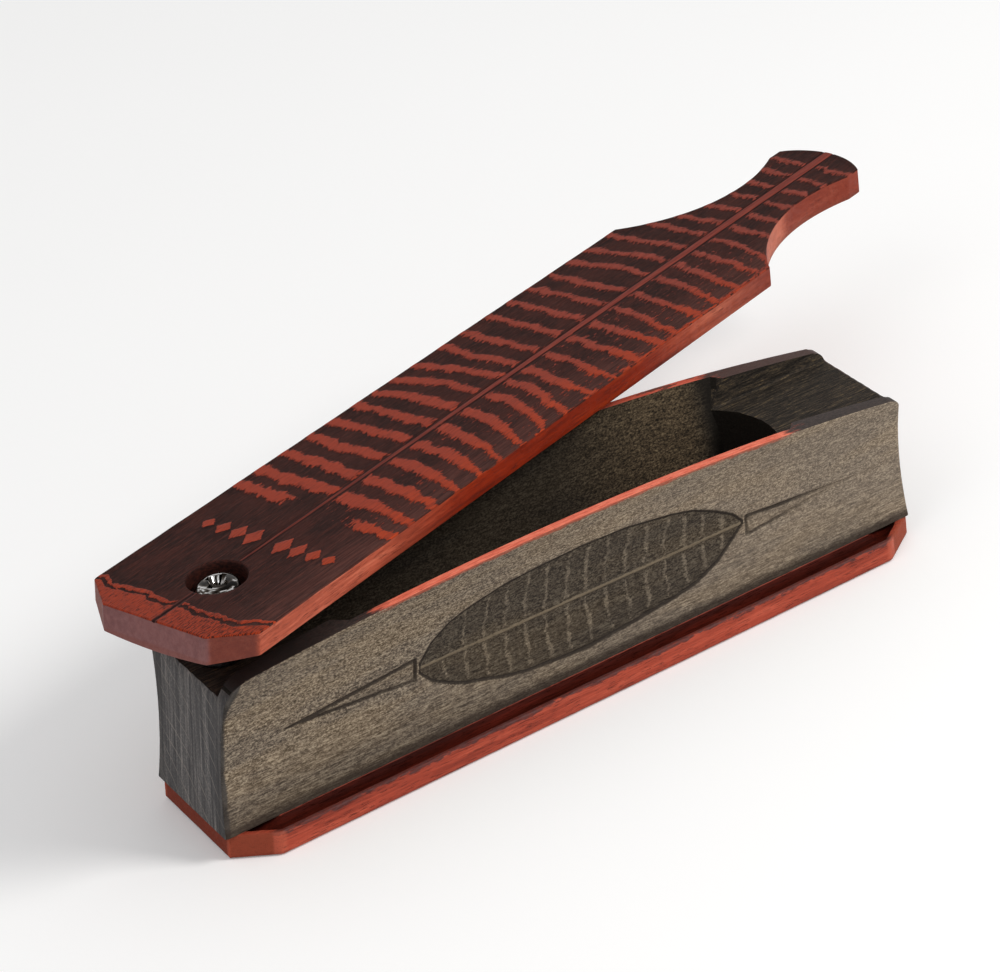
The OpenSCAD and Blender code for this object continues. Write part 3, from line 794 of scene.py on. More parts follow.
# ------------------------------------------------------------ node helpers
class G:
    """Small builder for a material's node tree."""

    def __init__(self, name):
        self.m = bpy.data.materials.new(name)
        self.m.use_nodes = True
        self.t = self.m.node_tree
        self.t.nodes.clear()
        self.out = self.t.nodes.new("ShaderNodeOutputMaterial")
        self.b = self.t.nodes.new("ShaderNodeBsdfPrincipled")
        self.t.links.new(self.b.outputs[0], self.out.inputs[0])

    def put(self, sock, v):
        if isinstance(v, bpy.types.NodeSocket):
            self.t.links.new(v, sock)
        else:
            sock.default_value = v

    def n(self, kind, **kw):
        x = self.t.nodes.new(kind)
        for k, v in kw.items():
            setattr(x, k, v)
        return x

    def attr(self, name, out="Fac"):
        x = self.n("ShaderNodeAttribute", attribute_name=name)
        return x.outputs[out]

    def obj(self):
        """Object position in mm."""
        x = self.n("ShaderNodeTexCoord")
        return self.vmul(x.outputs["Object"], (1000, 1000, 1000))

    def vmul(self, v, s):
        x = self.n("ShaderNodeVectorMath", operation="MULTIPLY")
        self.put(x.inputs[0], v)
        x.inputs[1].default_value = s
        return x.outputs[0]

    def vadd(self, a, b):
        x = self.n("ShaderNodeVectorMath", operation="ADD")
        self.put(x.inputs[0], a)
        self.put(x.inputs[1], b)
        return x.outputs[0]

    def xyz(self, v):
        x = self.n("ShaderNodeSeparateXYZ")
        self.put(x.inputs[0], v)
        return x.outputs[0], x.outputs[1], x.outputs[2]

    def comb(self, x, y, z):
        c = self.n("ShaderNodeCombineXYZ")
        for s, v in zip(c.inputs, (x, y, z)):
            self.put(s, v)
        return c.outputs[0]

    def ma(self, op, a, b=0.0, c=0.0, clamp=False):
        x = self.n("ShaderNodeMath", operation=op, use_clamp=clamp)
        self.put(x.inputs[0], a)
        self.put(x.inputs[1], b)
        if len(x.inputs) > 2:
            self.put(x.inputs[2], c)
        return x.outputs[0]

    def ss(self, v, lo, hi, a=0.0, b=1.0):
        """Smooth step from a to b as v goes from lo to hi."""
        x = self.n("ShaderNodeMapRange", interpolation_type="SMOOTHSTEP")
        self.put(x.inputs["Value"], v)
        self.put(x.inputs["From Min"], lo)
        self.put(x.inputs["From Max"], hi)
        self.put(x.inputs["To Min"], a)
        self.put(x.inputs["To Max"], b)
        return x.outputs[0]

    def noise(self, v, scale=(1, 1, 1), detail=3.0, rough=0.55, dist=0.0):
        x = self.n("ShaderNodeTexNoise")
        self.put(x.inputs["Vector"], self.vmul(v, scale))
        x.inputs["Scale"].default_value = 1.0
        x.inputs["Detail"].default_value = detail
        x.inputs["Roughness"].default_value = rough
        x.inputs["Distortion"].default_value = dist
        return x.outputs["Fac"]

    def voro(self, v, scale=(1, 1, 1), feature="F1"):
        x = self.n("ShaderNodeTexVoronoi", feature=feature)
        self.put(x.inputs["Vector"], self.vmul(v, scale))
        x.inputs["Scale"].default_value = 1.0
        return x.outputs["Distance"]

    def mix(self, f, a, b, mode="MIX"):
        x = self.n("ShaderNodeMix", data_type="RGBA", blend_type=mode, clamp_factor=True)
        self.put(x.inputs[0], f)
        self.put(x.inputs[6], a)
        self.put(x.inputs[7], b)
        return x.outputs[2]

    def mixf(self, f, a, b):
        x = self.n("ShaderNodeMix", data_type="FLOAT", clamp_factor=True)
        self.put(x.inputs[0], f)
        self.put(x.inputs[2], a)
        self.put(x.inputs[3], b)
        return x.outputs[0]

    def ramp(self, f, stops, interp="LINEAR"):
        x = self.n("ShaderNodeValToRGB")
        self.put(x.inputs[0], f)
        r = x.color_ramp
        r.interpolation = interp
        while len(r.elements) < len(stops):
            r.elements.new(0.5)
        for e, (p, c) in zip(r.elements, sorted(stops, key=lambda s: s[0])):
            e.position, e.color = p, c
        return x.outputs[0]

    def bump(self, h, dist, strength=1.0, prev=None):
        x = self.n("ShaderNodeBump")
        self.put(x.inputs["Height"], h)
        x.inputs["Distance"].default_value = dist
        x.inputs["Strength"].default_value = strength
        if prev is not None:
            self.put(x.inputs["Normal"], prev)
        return x.outputs[0]

    def end(self, color, rough, normal=None, **kw):
        self.put(self.b.inputs["Base Color"], color)
        self.put(self.b.inputs["Roughness"], rough)
        if normal is not None:
            self.put(self.b.inputs["Normal"], normal)
        for k, v in kw.items():
            self.put(self.b.inputs[k.replace("_", " ")], v)
        return self.m


def scaled(c, k):
    return (c[0] * k, c[1] * k, c[2] * k, 1.0)


# --------------------------------------------------------------- materials
def red_wood(g, P, light, mid, dark, along=0):
    """Coarse red hardwood: streaks and short dark pores along one axis. Returns colour, height."""
    s = [1.0, 1.0, 1.0]

    def st(a, b):
        v = [b, b, b]
        v[along] = a
        return tuple(v)
    streak = g.noise(P, st(0.035, 0.75), 5.0, 0.62, 0.25)
    fine = g.noise(P, st(0.22, 4.2), 3.0, 0.6)
    col = g.ramp(streak, [(0.28, dark), (0.5, mid), (0.72, light)])
    col = g.mix(g.ss(fine, 0.42, 0.7, 0.0, 0.45), col, scaled(dark, 0.75))
    pore = g.noise(P, st(0.3, 6.5), 2.0, 0.5)
    pm = g.ss(pore, 0.60, 0.68)
    col = g.mix(g.ma("MULTIPLY", pm, 0.65), col, scaled(dark, 0.42))
    cloud = g.noise(P, (0.05, 0.12, 0.12), 2.0, 0.5)
    col = g.mix(g.ss(cloud, 0.35, 0.7, 0.0, 0.35), col, scaled(mid, 1.25))
    h = g.ma("SUBTRACT", g.ma("MULTIPLY", fine, 0.6), g.ma("MULTIPLY", pm, 0.9))
    return col, h


def mat_lid():
    g = G("lid_wood_burnt")
    P = g.attr("lp", "Vector")
    x, y, z = g.xyz(P)
    zone = g.attr("zone")
    bars, quill = g.attr("bars"), g.attr("quill")
    # ragged edge: short teeth along the grain
    teeth = g.noise(P, (0.34, 1.9, 1), 3.0, 0.62)
    teeth2 = g.noise(P, (0.7, 4.6, 1), 1.0, 0.5)
    rag = g.ma("ADD", g.ma("MULTIPLY", g.ma("SUBTRACT", teeth, 0.5), 5.6), g.ma("MULTIPLY", g.ma("SUBTRACT", teeth2, 0.5), 2.5))
    rag = g.ma("MULTIPLY", g.ma("MULTIPLY", rag, g.ss(x, 30, 150, 0.8, 1.0)), g.ss(x, 26, 34, 0.2, 1.0))
    light = g.ss(g.ma("ADD", bars, rag), -0.09, 0.09)
    qm = g.ss(quill, -0.08, 0.08)
    # burnt ground
    grain = g.noise(P, (0.09, 2.6, 1), 4.0, 0.6, 0.15)
    fine = g.noise(P, (0.5, 8.0, 1), 3.0, 0.6)
    soot = g.noise(P, (0.06, 0.1, 1), 3.0, 0.55)
    ground = g.ramp(grain, [(0.3, srgb(34, 16, 13)), (0.5, srgb(58, 28, 23)), (0.72, srgb(92, 46, 36))])
    ground = g.mix(g.ss(fine, 0.47, 0.66, 0.0, 0.6), ground, srgb(28, 13, 11))
    long = g.noise(P, (0.28, 4.6, 1), 3.0, 0.65)
    ground = g.mix(g.ss(long, 0.48, 0.6, 0.0, 0.8), ground, srgb(24, 11, 9))
    ground = g.mix(g.ss(soot, 0.4, 0.65, 0.0, 0.35), ground, srgb(80, 38, 30))
    rgt = g.ss(y, -9, -23)
    ground = g.mix(g.ma("MULTIPLY", rgt, g.ss(grain, 0.4, 0.6, 0.15, 0.55)), ground, srgb(104, 62, 54))
    # bars: scorched red wood, orange to the front and near the right edge
    t = g.ss(x, 30, 200)
    bcol = g.mix(t, srgb(168, 66, 44), srgb(150, 68, 54))
    near = g.ma("MULTIPLY", g.ss(y, -8, -22), g.ss(x, 205, 150))
    bcol = g.mix(g.ma("MULTIPLY", near, 0.75), bcol, srgb(190, 66, 26))
    bg = g.noise(P, (0.12, 3.2, 1), 4.0, 0.6)
    bcol = g.mix(g.ss(bg, 0.38, 0.66, 0.0, 0.65), bcol, srgb(102, 38, 28))
    bp = g.noise(P, (0.45, 7.0, 1), 2.0, 0.5)
    bcol = g.mix(g.ss(bp, 0.60, 0.70, 0.0, 0.7), bcol, srgb(62, 28, 26))
    # darker rim right beside each bar edge
    rim = g.ma("MULTIPLY", g.ss(g.ma("ADD", bars, rag), -0.55, -0.05), g.ss(g.ma("ADD", bars, rag), 0.12, 0.0))
    ground = g.mix(g.ma("MULTIPLY", rim, 0.55), ground, srgb(36, 19, 19))
    col = g.mix(light, ground, bcol)
    # speckle inside the front band
    sp = g.noise(P, (0.55, 3.2, 1), 2.0, 0.7)
    band = g.ma("MULTIPLY", g.ss(x, -10.5, -12.5), g.ss(g.ma("ADD", sp, g.ss(y, 16, -18, -0.06, 0.03)), 0.53, 0.58))
    col = g.mix(g.ma("MULTIPLY", g.ma("MULTIPLY", band, light), 0.85), col, srgb(60, 24, 18))
    fcol = g.ma("MULTIPLY", g.ma("MULTIPLY", g.ss(x, -10.5, -12.5), light), g.ss(sp, 0.5, 0.4))
    col = g.mix(g.ma("MULTIPLY", fcol, 0.75), col, srgb(176, 62, 30))
    # quill: pinkish raised line between dark grooves
    qc = g.mix(g.ss(bg, 0.35, 0.7), srgb(140, 66, 54), srgb(108, 46, 40))
    groove = g.ma("MULTIPLY", g.ss(quill, -0.62, -0.25), g.ss(quill, 0.02, -0.1))
    col = g.mix(g.ma("MULTIPLY", groove, 0.7), col, srgb(34, 17, 17))
    qc = g.mix(g.ss(x, 120, 20, 0.0, 0.45), qc, srgb(70, 36, 30))
    col = g.mix(qm, col, qc)
    # line from the nose to the counterbore
    ay = g.ma("ABSOLUTE", y)
    fl = g.ma("MULTIPLY", g.ss(x, -6.5, -7.3), g.ss(ay, 0.42, 0.2))
    fl2 = g.ma("MULTIPLY", g.ss(x, -6.5, -7.3), g.ma("MULTIPLY", g.ss(ay, 0.35, 0.5), g.ss(ay, 0.85, 0.65)))
    col = g.mix(g.ma("MULTIPLY", fl2, 0.55), col, srgb(112, 62, 56))
    col = g.mix(g.ma("MULTIPLY", fl, 0.8), col, srgb(36, 18, 18))
    col = g.mix(g.ss(x, -8, -11, 0.12, 0.24), col, srgb(14, 6, 4))
    top_h = g.ma("ADD", g.ma("MULTIPLY", g.ma("MAXIMUM", light, qm), 1.0), g.ma("MULTIPLY", fine, -0.35))
    top_h = g.ma("ADD", top_h, g.ma("MULTIPLY", grain, 0.3))
    # sides and underside: bare red wood; end grain purple at the nose
    side, sh = red_wood(g, P, srgb(206, 116, 88), srgb(172, 82, 58), srgb(118, 46, 28))
    deep, _ = red_wood(g, P, srgb(170, 60, 16), srgb(140, 38, 7), srgb(96, 22, 4))
    side = g.mix(g.ma("MULTIPLY", g.ss(x, 22, 60), g.ss(x, 165, 120)), side, deep)
    geo = g.n("ShaderNodeNewGeometry")
    nose = g.ss(x, -19.4, -20.35)
    eg = g.noise(P, (0.8, 0.8, 0.8), 4.0, 0.6)
    ncol = g.mix(g.ss(eg, 0.3, 0.75), srgb(122, 84, 84), srgb(104, 68, 69))
    side = g.mix(g.ma("MULTIPLY", nose, 0.9), side, ncol)
    facet = g.ma("MULTIPLY", g.ss(x, -13.0, -14.2), g.ss(x, -20.4, -19.6))
    side = g.mix(g.ma("MULTIPLY", facet, 0.8), side, srgb(94, 44, 37))
    # handle and shoulder redder; the hollow of the neck paler, a painted highlight on its concave face
    hand = g.ma("MULTIPLY", g.ss(x, 150, 180), g.ma("MAXIMUM", g.ss(x, 191, 186), g.ss(x, 202, 210)))
    side = g.mix(g.ma("MULTIPLY", hand, 0.75), side, srgb(116, 38, 22))
    neck = g.ma("MULTIPLY", g.ss(x, 186, 192), g.ss(x, 209, 201))
    side = g.mix(g.ma("MULTIPLY", neck, 0.45), side, srgb(188, 112, 90))
    # darker toward the underside: painted shadow along the lower edge
    under = g.ss(z, -4.6, -5.2)
    side = g.mix(g.ma("MULTIPLY", under, 0.35), side, srgb(120, 58, 40))
    # charred streaks where the side meets the burnt top
    ch = g.noise(P, (0.5, 1.0, 1.0), 3.0, 0.6)
    char = g.ma("MULTIPLY", g.ss(g.ma("ADD", z, g.ma("MULTIPLY", ch, 1.0)), 0.1, 0.5), 0.6)
    side = g.mix(char, side, srgb(70, 32, 28))
    onTop = g.ss(zone, 0.3, 0.7)
    col = g.mix(onTop, side, col)
    # counterbore wall and floor toned dark: painted shade in the recess
    bore = g.ss(zone, 1.3, 1.8)
    bw = g.noise(P, (0.8, 0.8, 2.5), 3.0, 0.6)
    col = g.mix(bore, col, g.mix(g.ss(bw, 0.35, 0.7), srgb(34, 18, 16), srgb(62, 30, 24)))
    h = g.mixf(onTop, sh, top_h)
    nb = g.bump(h, 0.00011, 0.8)
    micro = g.noise(P, (1.2, 9, 9), 2.0, 0.6)
    nb = g.bump(micro, 0.00005, 0.5, nb)
    rough = g.mixf(light, g.mixf(g.ss(fine, 0.3, 0.7), 0.5, 0.66), 0.5)
    return g.end(col, rough, nb, Specular_IOR_Level=g.mixf(onTop, 0.2, 0.07))


def speckled(g, P, k=1.0):
    """Grey-tan stained wood with short dark dashes along X. Returns colour, height."""
    x, y, z = g.xyz(P)
    a = g.noise(P, (0.45, 2.4, 2.4), 3.0, 0.7)
    b = g.noise(P, (1.7, 3.4, 3.4), 3.0, 0.7)
    d = g.noise(P, (0.32, 5.0, 5.0), 2.0, 0.6)
    c = g.noise(P, (0.03, 0.16, 0.16), 3.0, 0.55)
    low = g.ss(z, 22, 9)                      # longer dashes on the lower half
    mixv = g.mixf(low, g.ma("ADD", g.ma("MULTIPLY", a, 0.35), g.ma("MULTIPLY", b, 0.65)),
                  g.ma("ADD", g.ma("MULTIPLY", a, 0.3), g.ma("ADD", g.ma("MULTIPLY", b, 0.35), g.ma("MULTIPLY", d, 0.35))))
    col = g.ramp(mixv, [(0.39, scaled(srgb(50, 43, 36), k)), (0.455, scaled(srgb(92, 80, 69), k)),
                        (0.515, scaled(srgb(138, 123, 106), k)), (0.6, scaled(srgb(188, 172, 148), k))])
    col = g.mix(g.ss(c, 0.35, 0.65, 0.0, 0.3), col, scaled(srgb(98, 90, 82), k))
    col = g.mix(g.ss(c, 0.6, 0.35, 0.0, 0.16), col, scaled(srgb(158, 134, 98), k))
    return col, mixv


def mat_box_side():
    g = G("box_wood_side")
    P = g.obj()
    x, y, z = g.xyz(P)
    col, h = speckled(g, P, 0.8)
    # lighter toward the rear end: painted light, the lamp's falloff along the side
    col = g.mix(g.ss(x, -60, 75, 0.0, 0.2), col, srgb(158, 143, 127))
    vane, rib, barb, fq = g.attr("vane"), g.attr("rib"), g.attr("barb"), g.attr("fquill")
    r1 = g.ma("MULTIPLY", g.ma("SUBTRACT", g.noise(P, (1.2, 3, 2.4), 2.0, 0.6), 0.5), 1.0)
    inside = g.ss(g.ma("ADD", vane, g.ma("MULTIPLY", r1, 0.35)), 0.05, 0.3)
    darkc, dh = speckled(g, P, 0.3)
    hatch = g.noise(P, (0.9, 2, 0.5), 2.0, 0.6)
    darkc = g.mix(g.ss(hatch, 0.45, 0.6, 0.0, 0.3), darkc, srgb(60, 52, 44))
    col2 = g.mix(inside, col, darkc)
    bm = g.ma("MULTIPLY", g.ss(g.ma("ADD", barb, g.ma("MULTIPLY", r1, 2.2)), -0.1, 0.35), 0.6)
    col2 = g.mix(bm, col2, g.mix(0.35, col, srgb(120, 110, 94)))
    rm = g.ma("MULTIPLY", g.ss(g.ma("ADD", rib, g.ma("MULTIPLY", r1, 0.35)), -0.05, 0.1), 0.8)
    col2 = g.mix(g.ma("MULTIPLY", rm, 0.75), col2, srgb(128, 114, 94))
    outl = g.ma("MULTIPLY", g.ss(g.ma("ADD", vane, g.ma("MULTIPLY", r1, 0.2)), -0.35, -0.05), g.ss(vane, 0.55, 0.3))
    col2 = g.mix(g.ma("MULTIPLY", outl, 0.9), col2, srgb(38, 32, 28))
    qin = g.ss(fq, 0.0, 0.3)
    col2 = g.mix(g.ma("MULTIPLY", qin, 0.12), col2, srgb(82, 72, 60))
    qo = g.ma("MULTIPLY", g.ss(g.ma("ADD", fq, g.ma("MULTIPLY", r1, 0.25)), -0.2, 0.02), g.ss(fq, 0.95, 0.5))
    # the lower edge of each quill is fainter and dies out toward its tip
    lowq = g.ma("MULTIPLY", g.ss(z, 19.0, 17.6), g.ss(g.ma("ABSOLUTE", x), 55, 66, 0.3, 0.9))
    qo = g.ma("MULTIPLY", qo, g.ma("SUBTRACT", 1.0, lowq))
    col2 = g.mix(g.ma("MULTIPLY", qo, 0.9), col2, srgb(44, 37, 32))
    # vertical corners at the front burnt dark; the band widens toward the top as a painted shadow of the lid
    n2 = g.noise(P, (0.5, 0.5, 0.35), 3.0, 0.6)
    wide = g.ss(z, 27, 36, 0.0, 3.4)
    edge = g.ma("ADD", g.ma("ADD", -92.7, wide), g.ma("MULTIPLY", n2, 1.4))
    fm = g.ss(g.ma("SUBTRACT", x, edge), 0.5, -0.3)
    col2 = g.mix(g.ma("MULTIPLY", fm, 0.9), col2, g.mix(g.ss(n2, 0.3, 0.7), srgb(40, 38, 38), srgb(66, 63, 61)))
    # stain bled down from the lips
    zl = g.ma("SUBTRACT", 39.0, g.ma("MULTIPLY", g.ma("MULTIPLY", g.ma("ADD", x, 14.9), g.ma("ADD", x, 14.9)), 0.000685))
    dz = g.ma("SUBTRACT", zl, z)
    bleed = g.noise(P, (0.25, 1.0, 0.8), 4.0, 0.65)
    bl = g.ma("MULTIPLY", g.ss(g.ma("SUBTRACT", dz, g.ma("MULTIPLY", bleed, 2.0)), -0.1, -0.7),
              g.ma("MULTIPLY", g.ss(x, -56, -48), g.ss(x, 62, 52)))
    col2 = g.mix(g.ma("MULTIPLY", bl, 0.75), col2, srgb(160, 74, 54))
    # painted shade: dark line at the foot, where the side meets the base board
    fn_ = g.noise(P, (0.3, 1, 1), 3.0, 0.6)
    ft = g.ss(g.ma("SUBTRACT", z, g.ma("MULTIPLY", fn_, 1.6)), 6.0, 4.4)
    col2 = g.mix(g.ma("MULTIPLY", ft, 0.8), col2, srgb(40, 30, 26))
    # lower front of the side darkened: painted shade
    col2 = g.mix(g.ma("MULTIPLY", g.ss(z, 15, 6), g.ss(x, 20, -70, 0.1, 0.38)), col2, srgb(64, 54, 46))
    nb = g.bump(h, 0.00022, 0.8)
    return g.end(col2, g.mixf(h, 0.8, 0.62), nb, Specular_IOR_Level=0.12)


def mat_box_end():
    g = G("box_wood_end")
    P = g.obj()
    x, y, z = g.xyz(P)
    q = g.comb(x, g.ma("ADD", g.ma("MULTIPLY", y, 0.78), g.ma("MULTIPLY", z, 0.62)), g.ma("SUBTRACT", g.ma("MULTIPLY", z, 0.78), g.ma("MULTIPLY", y, 0.62)))
    st = g.noise(P, (0.2, 1.1, 0.06), 4.0, 0.6, 0.2)
    fn = g.noise(P, (2.5, 2.5, 2.5), 3.0, 0.65)
    ring = g.noise(P, (0.1, 0.75, 0.05), 3.0, 0.55)
    col = g.ramp(g.ma("ADD", g.ma("MULTIPLY", st, 0.6), g.ma("MULTIPLY", fn, 0.4)),
                 [(0.36, srgb(60, 58, 58)), (0.5, srgb(90, 87, 86)), (0.62, srgb(128, 122, 118))])
    col = g.mix(g.ss(ring, 0.4, 0.62, 0.0, 0.5), col, srgb(48, 47, 49))
    ay = g.ma("ABSOLUTE", y)
    # pale saw marks, slanting down to the near side, slightly curved
    wob = g.noise(P, (0.05, 0.05, 0.05), 2.0, 0.5)
    u = g.ma("SUBTRACT", z, g.ma("MULTIPLY", y, 0.55))
    u = g.ma("ADD", u, g.ma("MULTIPLY", g.ma("MULTIPLY", y, y), 0.0015))
    u = g.ma("MULTIPLY", g.ma("ADD", u, g.ma("MULTIPLY", wob, 7.0)), 0.27)
    fr = g.ma("ABSOLUTE", g.ma("SUBTRACT", g.ma("FRACT", u), 0.5))
    brk = g.noise(P, (0.3, 0.12, 0.12), 3.0, 0.6)
    mark = g.ma("MULTIPLY", g.ss(fr, 0.055, 0.015), g.ss(brk, 0.36, 0.58, 0.06, 0.6))
    col = g.mix(mark, col, srgb(136, 128, 120))
    col = g.mix(g.ma("MULTIPLY", g.ss(ay, 11.0, 14.0), 0.55), col, srgb(50, 48, 48))
    nb = g.bump(g.ma("ADD", g.ma("MULTIPLY", ring, 0.8), g.ma("MULTIPLY", fn, 0.5)), 0.00015, 0.7)
    return g.end(col, g.mixf(fn, 0.66, 0.82), nb, Specular_IOR_Level=0.2)


def mat_lip():
    g = G("lip_red_stain")
    P = g.obj()
    x, y, z = g.xyz(P)
    a = g.noise(P, (0.25, 1.6, 1.6), 4.0, 0.62)
    f = g.noise(P, (0.8, 6.0, 6.0), 3.0, 0.6)
    col = g.ramp(a, [(0.3, srgb(196, 82, 58)), (0.5, srgb(226, 112, 86)), (0.7, srgb(240, 138, 110))])
    col = g.mix(g.ss(f, 0.5, 0.7, 0.0, 0.5), col, srgb(150, 58, 42))
    wn = g.noise(P, (0.16, 0.9, 1), 4.0, 0.68)
    # painted length; ragged ends; islands of stain
    e1 = g.ss(g.ma("ADD", x, g.ma("MULTIPLY", g.ma("SUBTRACT", wn, 0.5), 26)), -57, -51)
    e2 = g.ss(g.ma("ADD", x, g.ma("MULTIPLY", g.ma("SUBTRACT", wn, 0.5), 20)), 62, 56)
    on = g.ma("MULTIPLY", e1, e2)
    brown = g.mix(g.ss(f, 0.4, 0.6), srgb(66, 54, 50), srgb(38, 32, 29))
    brown = g.mix(g.ma("MULTIPLY", g.ss(y, 2, 6), 0.35), brown, srgb(92, 62, 56))
    # lips darkened toward the front end: painted shadow of the lid
    brown = g.mix(g.ma("MULTIPLY", g.ss(x, -60, -78), 0.9), brown, srgb(24, 20, 19))
    isl = g.noise(P, (0.1, 0.55, 1), 5.0, 0.7)
    # the far lip is more worn than the near one
    far = g.ss(y, -2, 2)
    thr = g.mixf(far, 0.63, 0.53)
    im = g.ss(g.ma("SUBTRACT", isl, thr), 0.0, 0.03)
    col = g.mix(g.ma("MULTIPLY", far, 0.45), col, srgb(172, 60, 44))
    col = g.mix(g.ma("MULTIPLY", im, 0.85), col, srgb(88, 56, 48))
    col = g.mix(on, brown, col)
    nb = g.bump(g.ma("ADD", f, a), 0.00008, 0.6)
    return g.end(col, g.mixf(f, 0.5, 0.7), nb, Specular_IOR_Level=0.3)


def mat_chamber():
    g = G("chamber_wood")
    P = g.obj()
    x, y, z = g.xyz(P)
    # the whole chamber toned far darker than the outside wood: painted shade inside the hollow
    col, h = speckled(g, P, 0.15)
    s = g.noise(P, (0.12, 0.3, 1.4), 4.0, 0.65)
    col = g.mix(g.ss(s, 0.4, 0.7, 0.0, 0.4), col, srgb(44, 37, 28))
    # far inner wall between x 10 and 58 lightened: painted light where the lamp reaches in
    col = g.mix(g.ma("MULTIPLY", g.ss(y, 4, 12), g.ma("MULTIPLY", g.ss(x, 10, 44), g.ss(x, 58, 50))), col, g.ramp(h, [(0.4, srgb(30, 25, 19)), (0.48, srgb(62, 52, 40)), (0.56, srgb(92, 78, 60)), (0.64, srgb(124, 108, 84))]))
    # the pocket ends darkened almost to black: painted shade
    ax = g.ma("ABSOLUTE", x)
    col = g.mix(g.ma("MULTIPLY", g.ss(g.ma("ADD", ax, g.ma("MULTIPLY", s, 5)), 57, 61), 0.85), col, srgb(26, 23, 20))
    nb = g.bump(g.ma("ADD", h, s), 0.0002, 0.7)
    return g.end(col, 0.8, nb, Specular_IOR_Level=0.08)


def mat_ledge():
    g = G("ledge_wood")
    P = g.obj()
    x, y, z = g.xyz(P)
    a = g.noise(P, (0.18, 1.8, 1.8), 4.0, 0.65, 0.2)
    b = g.noise(P, (1.2, 5.0, 5.0), 3.0, 0.6)
    col = g.ramp(g.ma("ADD", g.ma("MULTIPLY", a, 0.6), g.ma("MULTIPLY", b, 0.4)),
                 [(0.37, srgb(20, 17, 14)), (0.48, srgb(40, 35, 30)), (0.57, srgb(66, 57, 47)), (0.67, srgb(116, 98, 68))])
    nb = g.bump(g.ma("ADD", a, g.ma("MULTIPLY", b, 0.5)), 0.0003, 0.8)
    return g.end(col, g.mixf(b, 0.6, 0.8), nb, Specular_IOR_Level=0.15)


def mat_base():
    g = G("base_wood_red")
    P = g.obj()
    x, y, z = g.xyz(P)
    col, h = red_wood(g, P, srgb(196, 92, 68), srgb(162, 66, 46), srgb(112, 40, 28))
    ay = g.ma("ABSOLUTE", y)
    # cove: the red wood taken nearly to black, painted shade in the groove
    cv = g.ma("MULTIPLY", g.ss(ay, 21.5, 21.0), g.ss(z, 4.55, 4.3))
    cd, _ = red_wood(g, P, srgb(70, 14, 8), srgb(42, 7, 4), srgb(22, 4, 3))
    col = g.mix(g.ma("MULTIPLY", cv, 0.93), col, cd)
    # dark stain line along the rim's top edge, ragged below
    wn = g.noise(P, (0.22, 0.6, 0.9), 4.0, 0.66)
    rz = g.ma("ADD", z, g.ma("MULTIPLY", g.ma("SUBTRACT", wn, 0.52), 3.0))
    out = g.ss(ay, 20.6, 21.2)
    rim = g.ma("MULTIPLY", g.ss(rz, 3.7, 4.05), out)
    dk = g.noise(P, (0.6, 3, 3), 3.0, 0.6)
    col = g.mix(g.ma("MULTIPLY", rim, g.ss(dk, 0.3, 0.6, 0.6, 0.95)), col, g.mix(g.ss(dk, 0.4, 0.65), srgb(58, 34, 34), srgb(88, 54, 52)))
    # chamfered corner faces of the board lightened: painted light where the key lamp gives them only fill
    wd = g.ma("ADD", g.ma("MULTIPLY", g.ma("SUBTRACT", 92.2, g.ma("ABSOLUTE", x)), 0.593), g.ma("MULTIPLY", g.ma("SUBTRACT", 15.4, ay), 0.805))
    fac = g.ma("MULTIPLY", g.ss(wd, 1.0, 0.3), g.ss(z, 4.6, 4.3))
    col = g.mix(g.ma("MULTIPLY", fac, 0.5), col, srgb(186, 92, 68))
    # end faces of the board lightened too: painted light
    ends = g.ma("MULTIPLY", g.ss(g.ma("ABSOLUTE", x), 91.8, 92.1), g.ss(z, 4.5, 4.3))
    col = g.mix(g.ma("MULTIPLY", ends, 0.35), col, srgb(184, 88, 66))
    # darker toward the bottom edge: painted shade where the board meets the floor
    low = g.ss(z, 1.0, 0.2)
    col = g.mix(g.ma("MULTIPLY", low, 0.3), col, srgb(110, 44, 32))
    nb = g.bump(h, 0.00014, 0.8)
    return g.end(col, g.mixf(g.noise(P, (0.5, 2, 2), 3.0, 0.6), 0.42, 0.62), nb, Specular_IOR_Level=g.mixf(cv, 0.18, 0.03))


def metal(name, c1, c2, r0, r1, scratch=(30, 30, 30), bump=0.00002):
    g = G(name)
    P = g.obj()
    a = g.noise(P, (0.9, 0.9, 0.9), 4.0, 0.6)
    b = g.noise(P, (6, 6, 6), 3.0, 0.6)
    col = g.mix(g.ss(a, 0.35, 0.68), c1, c2)
    grime = g.ss(g.noise(P, (1.6, 1.6, 1.6), 4.0, 0.7), 0.58, 0.72)
    col = g.mix(g.ma("MULTIPLY", grime, 0.4), col, scaled(c1, 0.35))
    rough = g.ma("ADD", g.mixf(g.ss(b, 0.3, 0.7), r0, r1), g.ma("MULTIPLY", grime, 0.15))
    nb = g.bump(b, bump, 0.6)
    return g.end(col, rough, nb, Metallic=1.0)


# ------------------------------------------------------------------ build
lid = build_lid()
lid.data.materials.append(mat_lid())
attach(lid, "paddle")
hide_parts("lid")

box = build_box()
for m in (mat_box_side(), mat_box_end(), mat_lip(), mat_chamber(), mat_ledge()):
    box.data.materials.append(m)
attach(box, "box")
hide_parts("sound_box")

base = build_base()
base.data.materials.append(mat_base())
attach(base, "box")
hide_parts("base_board")

